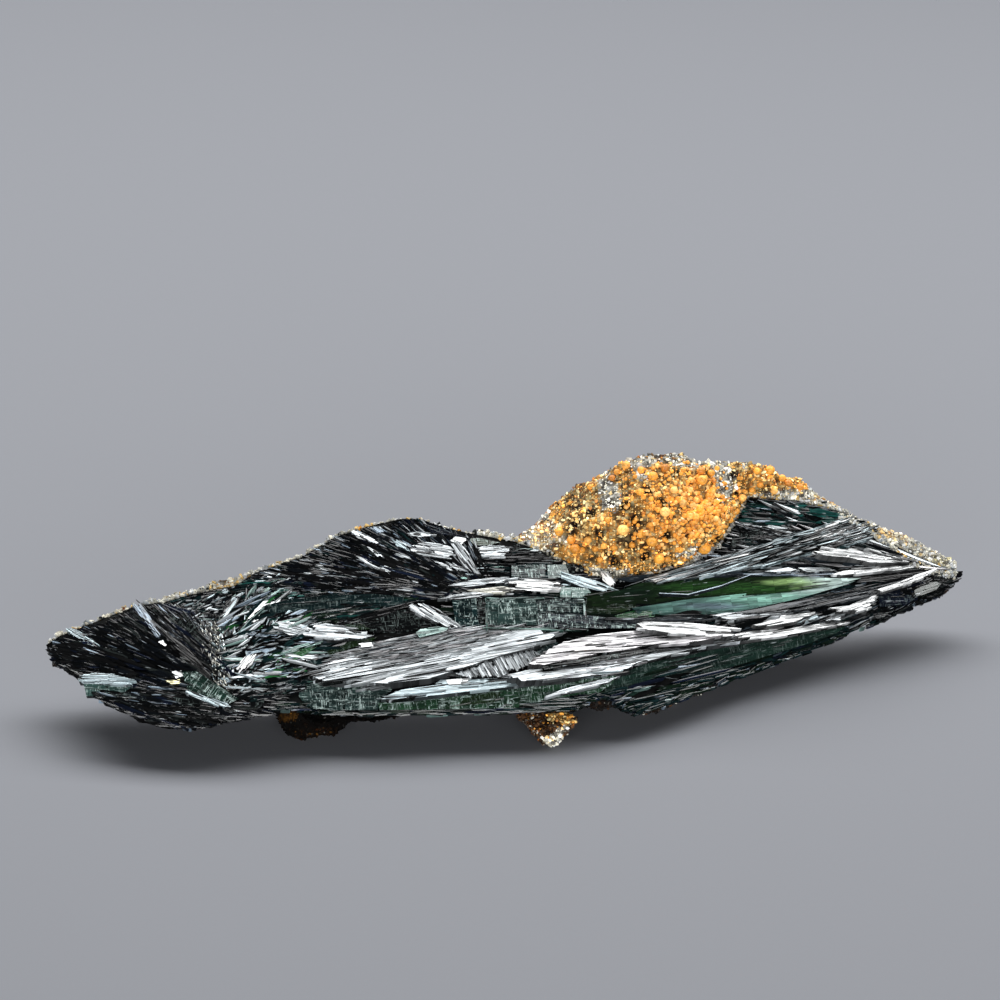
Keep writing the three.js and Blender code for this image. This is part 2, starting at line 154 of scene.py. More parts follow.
def linear(colour: str) -> Vector:
    """Turns an sRGB hex colour to linear values.

    Args:
        colour: The colour as #RRGGBB.

    Returns:
        Red, green and blue from 0 to 1.
    """
    parts = [int(colour[i:i + 2], 16) / 255 for i in (1, 3, 5)]
    return Vector([c / 12.92 if c <= 0.04045 else ((c + 0.055) / 1.055) ** 2.4 for c in parts])


LINEAR: dict[Tint, Vector] = {tint: linear(tint.value) for tint in Tint}
Mix = tuple[tuple[Tint, float], ...]


def drawn(mix: Mix, rng: Random) -> Tint:
    """Draws a tint from a mix by the tints' shares."""
    tints, shares = zip(*mix)
    return rng.choices(tints, shares)[0]


def lerp(start: float, end: float, share: float) -> float:
    """Goes a share of the way from start to end."""
    return start + (end - start) * share


def clamp(value: float, low: float = 0.0, high: float = 1.0) -> float:
    """Keeps a value between two limits."""
    return max(low, min(high, value))


def table_at(table: Table, column: float) -> list[float]:
    """Reads a table of (column, values...) at a column.

    Args:
        table: Rows in order of their column.
        column: Where to read it.

    Returns:
        The values there, held at the ends of the table.
    """
    after = min(max(bisect_left([entry[0] for entry in table], column), 1), len(table) - 1)
    left, right = table[after - 1], table[after]
    share = clamp((column - left[0]) / (right[0] - left[0]))
    return [lerp(a, b, share) for a, b in zip(left[1:], right[1:])]


def inside(spot: Spot, outline: tuple[Spot, ...]) -> bool:
    """Says whether a spot lies inside an outline.

    Args:
        spot: Column and row.
        outline: Corners in order.

    Returns:
        True inside.
    """
    within = False
    x, y = spot
    for (x0, y0), (x1, y1) in zip(outline, outline[1:] + outline[:1]):
        if (y0 > y) != (y1 > y) and x < (x1 - x0) * (y - y0) / (y1 - y0) + x0:
            within = not within
    return within


@dataclass(frozen=True)
class Softbox:
    """A rectangular soft light: where it hangs, what it points at, its size in metres and its watts."""

    name: str
    place: tuple[float, float, float]
    target: tuple[float, float, float]
    size: tuple[float, float]
    power: float

    def turn(self) -> Quaternion:
        """The turn that points it at its target."""
        return (Vector(self.target) - Vector(self.place)).to_track_quat("-Z", "Y")

    def meets(self, point: Vector, way: Vector, spread: float = 0.1) -> bool:
        """Says whether a line runs into it.

        Args:
            point: Where the line starts, in metres.
            way: Its direction.
            spread: How far past its edges still counts, in metres.

        Returns:
            Whether it does.
        """
        back = self.turn().inverted()
        start, step = back @ (point - Vector(self.place)), back @ way
        if step.z < 1e-3:
            return False
        hit = start - step * start.z / step.z
        return abs(hit.x) < self.size[0] / 2 + spread and abs(hit.y) < self.size[1] / 2 + spread


SOFTBOXES = (Softbox("overhead_softbox", (0.05, 0.26, 0.6), (0.0, 0.0, 0.0), (1.4, 0.5), 13.0),
             Softbox("front_fill", (0.0, -1.1, 0.2), (0.0, 0.0, 0.02), (1.4, 0.3), 13.0))


@dataclass(frozen=True)
class Axes:
    """A place on the face with its own directions: along the grain, across it and out of the face."""

    place: Vector
    along: Vector
    across: Vector
    out: Vector

    def matrix(self) -> Matrix:
        """Gives the turn and place as a matrix, in millimetres."""
        turn = Matrix((self.along, self.across, self.out)).transposed().to_4x4()
        return Matrix.Translation(self.place) @ turn


@dataclass(frozen=True)
class FaceSheet:
    """The drawing of the display face that every blade is placed on, seen by an eye in front of it."""

    step: float = 0.131
    middle: float = 500
    eye_distance: float = 600
    eye_above_level: float = 22
    aim: Vector = Vector((-1.95, -2.83, 28.7))
    depth_origin: float = 19.83
    bulge: float = 1.4
    full_height: float = 60
    gleam_elevation: float = 56
    probe: float = 4

    @property
    def forward(self) -> Vector:
        """The eye's line of sight."""
        tilt = math.radians(self.eye_above_level)
        return Vector((0, math.cos(tilt), -math.sin(tilt)))

    @property
    def upward(self) -> Vector:
        """Up on the drawing."""
        tilt = math.radians(self.eye_above_level)
        return Vector((0, math.sin(tilt), math.cos(tilt)))

    @property
    def eye(self) -> Vector:
        """Where the eye is."""
        return self.aim - self.forward * self.eye_distance

    def ray(self, column: float, row: float) -> Vector:
        """The direction from the eye to a spot on the drawing."""
        spread = self.step / self.eye_distance
        aside = Vector(((column - self.middle) * spread, 0, 0))
        return self.forward + self.upward * ((self.middle - row) * spread) + aside

    def at_depth(self, column: float, row: float, depth: float) -> Vector:
        """The point at a depth that the drawing shows at a spot."""
        ray = self.ray(column, row)
        return self.eye + ray * ((depth - self.depth_origin - self.eye.y) / ray.y)

    def on_plane(self, column: float, row: float, place: Vector, out: Vector) -> Vector:
        """The point of a plane that the drawing shows at a spot."""
        ray = self.ray(column, row)
        return self.eye + ray * ((place - self.eye).dot(out) / ray.dot(out))

    def spot_of(self, point: Vector) -> Spot:
        """The column and row at which the drawing shows a point."""
        away = point - self.eye
        scale = self.eye_distance / (away.dot(self.forward) * self.step)
        return self.middle + away.x * scale, self.middle - away.dot(self.upward) * scale

    def fullness(self, column: float) -> float:
        """How near the plate is to its full height at a column, from 0.1 to 1."""
        height = table_at(CRYSTAL_FOOT, column)[0] - table_at(CRYSTAL_TOP, column)[0]
        return clamp(height / self.full_height, 0.1, 1)

    def on_face(self, column: float, row: float) -> Vector:
        """The point of the crystal face at a spot, on its straight continuation past the edges."""
        top_row, top_depth = table_at(CRYSTAL_TOP, column)
        foot_row, foot_depth = table_at(CRYSTAL_FOOT, column)
        share = (row - top_row) / (foot_row - top_row)
        bulge = self.bulge * self.fullness(column) * 4 * max(0.0, share * (1 - share))
        return self.at_depth(column, row, lerp(top_depth, foot_depth, share) - bulge)

    def settle(self, along: Vector, out: Vector, limit: float) -> float:
        """How far a blade turns about its length to face the way that most of its neighbours do.

        Args:
            along: The blade's length.
            out: The way that the face under it looks.
            limit: The largest turn, in degrees.

        Returns:
            Radians about its length.
        """
        tilt = math.radians(self.gleam_elevation)
        common = Vector((0, -math.cos(tilt), math.sin(tilt)))
        common = (common - along * common.dot(along)).normalized()
        turn = math.atan2(out.cross(common).dot(along), out.dot(common))
        return clamp(turn, -math.radians(limit), math.radians(limit))

    def glares(self, place: Vector, out: Vector) -> bool:
        """Says whether a face at a place, looking this way, mirrors a soft light to the eye."""
        ray = (place - self.eye).normalized()
        way = ray - 2 * ray.dot(out) * out
        return any(softbox.meets(place * MM, way) for softbox in SOFTBOXES)

    def axes(self, start: Spot, end: Spot, roll: float = 0, lift: float = 0, settle: float = 0) -> Axes:
        """Lays out the directions of a blade on the face.

        Args:
            start: Where the blade starts.
            end: Where it ends.
            roll: Degrees about its length, positive where the upper edge is raised.
            lift: How far it lies over the face, in millimetres.
            settle: How many degrees it may turn towards the common direction of the blades.

        Returns:
            The axes at its middle.
        """
        reach = Vector((end[0] - start[0], end[1] - start[1]))
        side = Vector((reach.y, -reach.x)).normalized() * self.probe
        middle = ((start[0] + end[0]) / 2, (start[1] + end[1]) / 2)
        along = (self.on_face(*end) - self.on_face(*start)).normalized()
        far = self.on_face(middle[0] + side.x, middle[1] + side.y)
        near = self.on_face(middle[0] - side.x, middle[1] - side.y)
        out = along.cross(far - near).normalized()
        if out.dot(self.forward) > 0:
            out = -out
        roll = math.radians(roll) * (1 if out.cross(along).dot(self.upward) > 0 else -1)
        out = Matrix.Rotation(roll + self.settle(along, out, settle), 3, along) @ out
        return Axes(self.on_face(*middle) + out * lift, along, out.cross(along), out)


SHEET = FaceSheet()


# ---- Shared ways of making meshes and nodes ----

@dataclass(frozen=True)
class Cut:
    """How a kind of blade breaks up and shines."""

    strip: float
    turn: float
    mottle: float
    lustre: float
    streak: float
    cracks: float
    stagger: float
    splinters: float
    cross: float = 0


class Habit(Enum):
    """Ways in which the crystals break, with strip width and cross cuts in millimetres."""

    PEARLY = Cut(strip=0.34, turn=2.2, mottle=0.2, lustre=1.0, streak=0.8, cracks=0.0, stagger=0.9,
                 splinters=0.02)
    GLASSY = Cut(strip=1.0, turn=1.6, mottle=0.3, lustre=0.05, streak=0.6, cracks=0.25, stagger=0.5,
                 splinters=0.006)
    STRIATED = Cut(strip=0.24, turn=6.0, mottle=0.45, lustre=0.75, streak=0.9, cracks=0.0, stagger=0.7,
                   splinters=0.05)
    CRACKED = Cut(strip=2.0, turn=1.6, mottle=0.3, lustre=0.1, streak=0.5, cracks=1.0, stagger=0.05,
                  splinters=0.0, cross=1.8)
    GLASS = Cut(strip=2.2, turn=0.6, mottle=0.2, lustre=0.05, streak=0.5, cracks=0.16, stagger=0.4,
                splinters=0.002)
    GEM = Cut(strip=0.4, turn=0.3, mottle=0.06, lustre=0.02, streak=0.6, cracks=0.0, stagger=0.0,
              splinters=0.001, cross=1.6)
    WHOLE = Cut(strip=0.6, turn=3.0, mottle=0.2, lustre=0.6, streak=0.6, cracks=0.4, stagger=0.3,
                splinters=0.02)


PEARLY, GLASSY, STRIATED, CRACKED, GLASS, GEM, WHOLE = Habit


@dataclass(frozen=True)
class Facet:
    """One broad cleaved blade: what it looks like, which way it grew, how it lies, and its outline."""

    tint: Tint
    habit: Habit
    grain: float
    roll: float
    lift: float
    outline: tuple[Spot, ...]
    # patches of painted glow and painted shade: tint, middle and radii on the drawing
    light_and_shade_patches: tuple[tuple[Tint, Spot, Spot], ...] = ()

    def tint_at(self, spot: Spot) -> Vector:
        """Gives the blade's colour at a spot: its own, blended with patches of painted glow and painted
        shade that stand for light inside it.

        Args:
            spot: Column and row.

        Returns:
            A linear colour.
        """
        tint = LINEAR[self.tint]
        for patch_tint, middle, radii in self.light_and_shade_patches:
            share = clamp(1 - math.hypot((spot[0] - middle[0]) / radii[0],
                                         (spot[1] - middle[1]) / radii[1]))
            tint = tint.lerp(LINEAR[patch_tint], share * share * (3 - 2 * share))
        return tint


@dataclass
class Paint:
    """What one face of a crystal carries for its finish."""

    tint: Vector
    lustre: float = 0
    streak: float = 0
    cracks: float = 0


def finished(mesh: bmesh.types.BMesh, name: str) -> bpy.types.Mesh:
    """Turns a shape into mesh data of this name and frees it."""
    data = bpy.data.meshes.new(name)
    mesh.to_mesh(data)
    mesh.free()
    return data


def held(point: Vector, low: Vector, high: Vector, margin: float) -> Vector:
    """Holds a point inside a box, this far from its walls."""
    return Vector([clamp(v, a + margin, b - margin) for v, a, b in zip(point, low, high)])


def layers(mesh: bmesh.types.BMesh) -> tuple:
    """Gives a mesh the layers that the finishes read.

    Args:
        mesh: The mesh to add them to.

    Returns:
        The UV layer along the grain, the tint layer and the habit layer.
    """
    grain = mesh.loops.layers.uv.verify()
    tint = mesh.loops.layers.float_color.get("tint") or mesh.loops.layers.float_color.new("tint")
    habit = mesh.loops.layers.float_color.get("habit") or mesh.loops.layers.float_color.new("habit")
    return grain, tint, habit


def to_object(name: str, data: bpy.types.Mesh, finish: bpy.types.Material, slot: str) -> bpy.types.Object:
    """Puts a mesh in the scene as a piece that rides with the specimen.

    Args:
        name: The piece's name.
        data: Its mesh, in metres.
        finish: Its material.
        slot: The name of the record's slot for its finish; not used.

    Returns:
        The piece.
    """
    data.name = name
    data.materials.clear()
    data.materials.append(finish)
    piece = bpy.data.objects.new(name, data)
    bpy.context.scene.collection.objects.link(piece)
    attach(piece, "root")
    LOG.info("%s: %d faces", name, len(data.polygons))
    return piece


def add_node(tree: bpy.types.NodeTree, kind: str, settings: dict | None = None,
             links: dict | None = None) -> bpy.types.Node:
    """Adds a node with its settings and links.

    Args:
        tree: The tree to add it to.
        kind: The node's type.
        settings: Properties by name, and socket values by index or name.
        links: What each input takes: an output socket, or a node for its first output.

    Returns:
        The node.
    """
    node = tree.nodes.new(kind)
    for key, value in (settings or {}).items():
        if isinstance(key, str) and hasattr(node, key):
            setattr(node, key, value)
        else:
            node.inputs[key].default_value = value
    for key, source in (links or {}).items():
        socket = source.outputs[0] if isinstance(source, bpy.types.Node) else source
        tree.links.new(socket, node.inputs[key])
    return node


def new_material(name: str) -> tuple[bpy.types.Material, Callable[..., bpy.types.Node]]:
    """Starts a material.

    Args:
        name: What it is called.

    Returns:
        The material, and add_node for its empty tree.
    """
    made = bpy.data.materials.new(name)
    made.use_nodes = True
    made.node_tree.nodes.clear()
    return made, partial(add_node, made.node_tree)


class Swarm:
    """Copies of one small shape, each with its own place and paint, joined in one mesh."""

    def __init__(self, template: bmesh.types.BMesh, smooth: bool = False) -> None:
        """Takes the shape that is repeated, one unit long and wide.

        Args:
            template: The shape, which is freed.
            smooth: Whether its faces are shaded smooth.
        """
        template.verts.ensure_lookup_table()
        self.points = np.array([v.co for v in template.verts])
        self.faces = [[v.index for v in f.verts] for f in template.faces]
        self.smooth = smooth
        template.free()
        self.places: list[np.ndarray] = []
        self.paints: list[tuple[float, ...]] = []
        self.grains: list[tuple[float, float, float, float]] = []

    def add(self, place: Matrix, paint: Paint,
            grain: tuple[float, float, float, float] = (1, 1, 0, 0)) -> None:
        """Adds a copy.

        Args:
            place: Its size, turn and place, in millimetres.
            paint: What it looks like.
            grain: Its length, width and where its grain pattern starts.
        """
        self.places.append(np.array(place))
        self.paints.append((*paint.tint, 1, paint.lustre, paint.streak, paint.cracks, 1))
        self.grains.append(grain)

    def mesh(self, name: str) -> bpy.types.Mesh:
        """Joins the copies.

        Args:
            name: The mesh's name.

        Returns:
            The mesh, in metres.
        """
        places = np.array(self.places)
        copies, corners = len(places), len(self.points)
        solid = np.einsum("nij,kj->nki", places[:, :3, :3], self.points) + places[:, None, :3, 3]
        loop_points = np.concatenate([np.array(face) for face in self.faces])
        sizes = np.array([len(face) for face in self.faces])
        loops = (loop_points[None, :] + np.arange(copies)[:, None] * corners).ravel()
        starts = np.concatenate([[0], np.cumsum(np.tile(sizes, copies))[:-1]])
        low, high = (np.array(corner) / MM for corner in SOLID_BOX)
        solid = np.clip(solid, low + SKIN, high - SKIN)
        data = bpy.data.meshes.new(name)
        data.vertices.add(copies * corners)
        data.vertices.foreach_set("co", (solid * MM).astype(np.float32).ravel())
        data.loops.add(len(loops))
        data.loops.foreach_set("vertex_index", loops.astype(np.int32))
        data.polygons.add(copies * len(sizes))
        data.polygons.foreach_set("loop_start", starts.astype(np.int32))
        data.polygons.foreach_set("use_smooth", np.full(copies * len(sizes), self.smooth))
        data.update(calc_edges=True)
        paints = np.repeat(np.array(self.paints), len(loop_points), axis=0)
        for layer, part in (("tint", paints[:, :4]), ("habit", paints[:, 4:])):
            made = data.color_attributes.new(layer, "FLOAT_COLOR", "CORNER")
            made.data.foreach_set("color", part.astype(np.float32).ravel())
        grains = np.array(self.grains)
        flat = self.points[loop_points][:, :2]
        grain = flat[None] * grains[:, None, :2] + grains[:, None, 2:]
        data.uv_layers.new(name="grain").data.foreach_set("uv", grain.astype(np.float32).ravel())
        data.validate()
        return data


def needle(ridge: float = 0.04, chisel: float = 0.15) -> bmesh.types.BMesh:
    """Makes a slender crystal, one unit long, wide and deep, with a low ridge and chisel ends.

    Args:
        ridge: How far the ridge stands over its eaves, as a share of the depth.
        chisel: How far the eaves stop short of the ends, as a share of the length.

    Returns:
        The closed shape, its ridge at height 0.
    """
    mesh = bmesh.new()
    bmesh.ops.create_cube(mesh, size=1)
    bmesh.ops.bisect_plane(mesh, geom=mesh.verts[:] + mesh.edges[:] + mesh.faces[:], plane_co=(0, 0.12, 0),
                           plane_no=(0, 1, 0))
    bmesh.ops.translate(mesh, verts=mesh.verts, vec=(0.5, 0, -0.5))
    for vert in mesh.verts:
        if abs(vert.co.y) > 0.3:
            vert.co.z -= ridge if vert.co.z > -0.5 else 0
            short = chisel * (1.3 if vert.co.y > 0 else 0.7)
            vert.co.x += short if vert.co.x < 0.5 else -short
    bmesh.ops.recalc_face_normals(mesh, faces=mesh.faces)
    return mesh


class Crumb(Enum):
    """Shapes of loose grains, by their number of triangles."""

    ROUND = 20
    BLOCK = 12
    GRIT = 6


def crumb(kind: Crumb, seed: int) -> bmesh.types.BMesh:
    """Makes an angular crumb of about one unit's radius.

    Args:
        kind: Its shape.
        seed: What its corners are drawn from.

    Returns:
        The closed shape.
    """
    rng = Random(seed)
    mesh = bmesh.new()
    if kind is Crumb.ROUND:
        bmesh.ops.create_icosphere(mesh, subdivisions=1, radius=1)
    elif kind is Crumb.BLOCK:
        bmesh.ops.create_cube(mesh, size=1.5)
    else:
        bmesh.ops.create_cone(mesh, cap_ends=True, segments=4, radius1=1, radius2=0, depth=1.6)
    for vert in mesh.verts:
        vert.co *= rng.uniform(0.7, 1.2)
    return mesh


# ---- Finishes ----

MATH, SCALED, RANGE = "ShaderNodeMath", "ShaderNodeVectorMath", "ShaderNodeMapRange"
MIX, NOISE, MAPPING = "ShaderNodeMix", "ShaderNodeTexNoise", "ShaderNodeMapping"
BUMP, PRINCIPLED, OUTPUT = "ShaderNodeBump", "ShaderNodeBsdfPrincipled", "ShaderNodeOutputMaterial"
MULTIPLY, MAXIMUM = {"operation": "MULTIPLY"}, {"operation": "MAXIMUM"}
IN_MILLIMETRES = (1 / MM, 1 / MM, 1 / MM)


@dataclass(frozen=True)
class VivianiteFinish:
    """Vivianite, cleaved and lightly weathered: dark green glass that turns pearly on its cleavage.

    Lengths are in millimetres. Each strand or line is given as its width and its length along the grain.
    """

    name: str = "vivianite_cleaved"
    ior: float = 1.6
    specular: float = 0.5
    glassy_roughness: float = 0.08
    pearly_roughness: float = 0.3
    pearly_metal: float = 0.4
    strand: tuple[float, float] = (0.7, 12.0)
    hairline: tuple[float, float] = (0.2, 5.0)
    # the glint sizes and colour paint short highlights into the base colour
    painted_glint: tuple[float, float] = (0.36, 4.0)
    glow: tuple[float, float] = (1.5, 7.0)
    crack_along: tuple[float, float] = (0.7, 9.0)
    crack_across: tuple[float, float] = (7.0, 0.8)
    fleck: float = 0.5
    strand_share: float = 0.35
    painted_glint_patch: tuple[float, float] = (1.1, 3.0)
    crack_patch: tuple[float, float] = (1.2, 1.6)
    painted_glint_colour: str = "#C9D2D6"
    crack_colour: str = "#B9CCC7"
    relief: float = 0.016

    def material(self) -> bpy.types.Material:
        """Makes the material.

        Returns:
            Vivianite with strands and painted glints along the grain, and cracks where a blade carries
            them.
        """
        made, add = new_material(self.name)
        grain = add("ShaderNodeUVMap", {"uv_map": "grain"})
        tint = add("ShaderNodeAttribute", {"attribute_name": "tint"}).outputs["Color"]
        habit = add("ShaderNodeAttribute", {"attribute_name": "habit"}).outputs["Color"]
        lustre, streak, cracks = add("ShaderNodeSeparateColor", links={0: habit}).outputs[:3]

        def strands(size: Span, seed: float, low: float | None = None, high: float = 0.6) -> bpy.types.Node:
            """Noise drawn out along the grain, this wide and long, sharpened where low is given."""
            stretch = add(MAPPING, {1: (seed, seed, 0), 3: (1 / size[1], 1 / size[0], 1)}, {0: grain})
            cloud = add(NOISE, {"Scale": 1.0, "Detail": 3.0, "Roughness": 0.6}, {0: stretch})
            if low is None:
                return cloud
            return add(RANGE, {"interpolation_type": "SMOOTHSTEP", 1: low, 2: high}, {0: cloud})

        # strands and hairlines shade the colour down where the blade is streaked
        coarse = add(MATH, MULTIPLY | {1: self.strand_share}, {0: strands(self.strand, 3.1, 0.38)})
        fine = add(MATH, MULTIPLY | {1: 1 - self.strand_share}, {0: strands(self.hairline, 9.7, 0.38)})
        both = add(MATH, {"operation": "ADD"}, {0: coarse, 1: fine})
        unstreaked = add(MATH, {"operation": "SUBTRACT", 1: 1.0}, {0: streak})
        darkest = add(MATH, {"operation": "ABSOLUTE"}, {0: unstreaked})
        shaded = add(RANGE, {1: 0.0, 2: 1.0, 4: 1.25}, {0: both, 3: darkest})
        glow = add(RANGE, {1: 0.35, 2: 0.65, 3: 0.6, 4: 1.5}, {0: strands(self.glow, 5.3)})
        strength = add(MATH, MULTIPLY, {0: shaded, 1: glow})
        glowing = add(SCALED, {"operation": "SCALE"}, {0: tint, "Scale": strength})

        # painted glints: short pale lines mixed into the base colour, in patches
        painted_glints = add(MATH, MULTIPLY, {0: strands(self.painted_glint, 21.4, 0.62, 0.69),
                                      1: strands(self.painted_glint_patch, 7.7, 0.42)})
        with_painted_glints = add(MIX, {"data_type": "RGBA", 7: (*linear(self.painted_glint_colour), 1)},
                       {0: add(MATH, MULTIPLY, {0: painted_glints, 1: streak}), 6: glowing})

        # fine pale cracks and flecks, which only some habits carry
        seen = None
        for size, seed, width in ((self.crack_along, 31.0, 0.018), (self.crack_across, 43.0, 0.02),
                                  (self.crack_across, 57.0, 0.014)):
            signed = add(MATH, {"operation": "SUBTRACT", 1: 0.5}, {0: strands(size, seed)})
            off = add(MATH, {"operation": "ABSOLUTE"}, {0: signed})
            line = add(RANGE, {1: 0.0, 2: width, 3: 1.0, 4: 0.0}, {0: off})
            broken = add(MATH, MULTIPLY, {0: line, 1: strands(self.crack_patch, seed + 5, 0.44)})
            seen = add(MATH, MAXIMUM, {0: seen, 1: broken}) if seen else broken
        spread = add("ShaderNodeTexVoronoi", {"Scale": 1 / self.fleck}, {0: grain})
        flecks = add(RANGE, {1: 0.06, 2: 0.13, 3: 0.8, 4: 0.0}, {0: spread})
        marks = add(MATH, MAXIMUM, {0: seen, 1: flecks})
        colour = add(MIX, {"data_type": "RGBA", 7: (*linear(self.crack_colour), 1)},
                     {0: add(MATH, MULTIPLY, {0: marks, 1: cracks}), 6: with_painted_glints.outputs[2]})

        metal = add(MATH, MULTIPLY | {1: self.pearly_metal}, {0: lustre})
        rough = add(RANGE, {3: self.glassy_roughness, 4: self.pearly_roughness}, {0: lustre})
        bump = add(BUMP, {"Strength": 0.7, "Distance": self.relief * MM}, {"Height": both})
        shader = add(PRINCIPLED, {"IOR": self.ior, "Specular IOR Level": self.specular},
                     {"Base Color": colour.outputs[2], "Metallic": metal, "Roughness": rough,
                      "Normal": bump})
        add(OUTPUT, links={0: shader})
        return made


@dataclass(frozen=True)
class MatrixFinish:
    """Iron-stained phosphate and clay, crumbly: dull grains with a paler bloom and dark crevices in painted
    shade.
    """

    name: str = "iron_stained_matrix"
    ior: float = 1.55
    specular: float = 0.15
    roughness: float = 0.7
    grit: float = 0.22
    stain: float = 0.9
    relief: float = 0.09

    def material(self) -> bpy.types.Material:
        """Makes the material.

        Returns:
            Gritty matrix that takes its colour from the piece's own tint.
        """
        made, add = new_material(self.name)
        place = add("ShaderNodeTexCoord").outputs["Object"]
        sized = add(MAPPING, {3: IN_MILLIMETRES}, {0: place})
        tint = add("ShaderNodeAttribute", {"attribute_name": "tint"}).outputs["Color"]
        grit = add(NOISE, {"Scale": 1 / self.grit, "Detail": 4.0, "Roughness": 0.7}, {0: sized})
        stain = add(NOISE, {"Scale": 1 / self.stain, "Detail": 3.0}, {0: sized})
        # painted shade: the noise that makes the bump also darkens the colour where it is low
        dark = add(RANGE, {1: 0.3, 2: 0.65, 3: 0.45, 4: 1.25}, {0: grit})
        warm = add(RANGE, {1: 0.35, 2: 0.65, 3: 0.75, 4: 1.15}, {0: stain})
        shade = add(MATH, MULTIPLY, {0: dark, 1: warm})
        colour = add(SCALED, {"operation": "SCALE"}, {0: tint, "Scale": shade})
        bump = add(BUMP, {"Strength": 0.8, "Distance": self.relief * MM}, {"Height": grit})
        shader = add(PRINCIPLED, {"IOR": self.ior, "Specular IOR Level": self.specular,
                                  "Roughness": self.roughness}, {"Base Color": colour, "Normal": bump})
        add(OUTPUT, links={0: shader})
        return made


@dataclass(frozen=True)
class FloorFinish:
    """Seamless background paper in pale grey: matt, with a faint tooth."""

    colour: str = "#74767B"
    roughness: float = 0.9
    tooth: float = 0.6
    relief: float = 0.05

    def material(self) -> bpy.types.Material:
        """Makes the material.

        Returns:
            Matt paper.
        """
        made, add = new_material("background_paper")
        place = add("ShaderNodeTexCoord").outputs["Object"]
        sized = add(MAPPING, {3: IN_MILLIMETRES}, {0: place})
        tooth = add(NOISE, {"Scale": 1 / self.tooth, "Detail": 2.0}, {0: sized})
        bump = add(BUMP, {"Strength": 0.2, "Distance": self.relief * MM}, {"Height": tooth})
        shader = add(PRINCIPLED, {"Base Color": (*linear(self.colour), 1), "Roughness": self.roughness},
                     {"Normal": bump})
        add(OUTPUT, links={0: shader})
        return made


# ---- Crystals ----

DARK_TINT = 0.01  # linear: blades no brighter than this are turned until they mirror no light
SHINING = 0.45  # the lustre above which a lath counts as bright
RETRIED_ROLLS = (0, 7, -7, 14, 21, 28, 35)  # degrees added in turn to a dark blade's roll

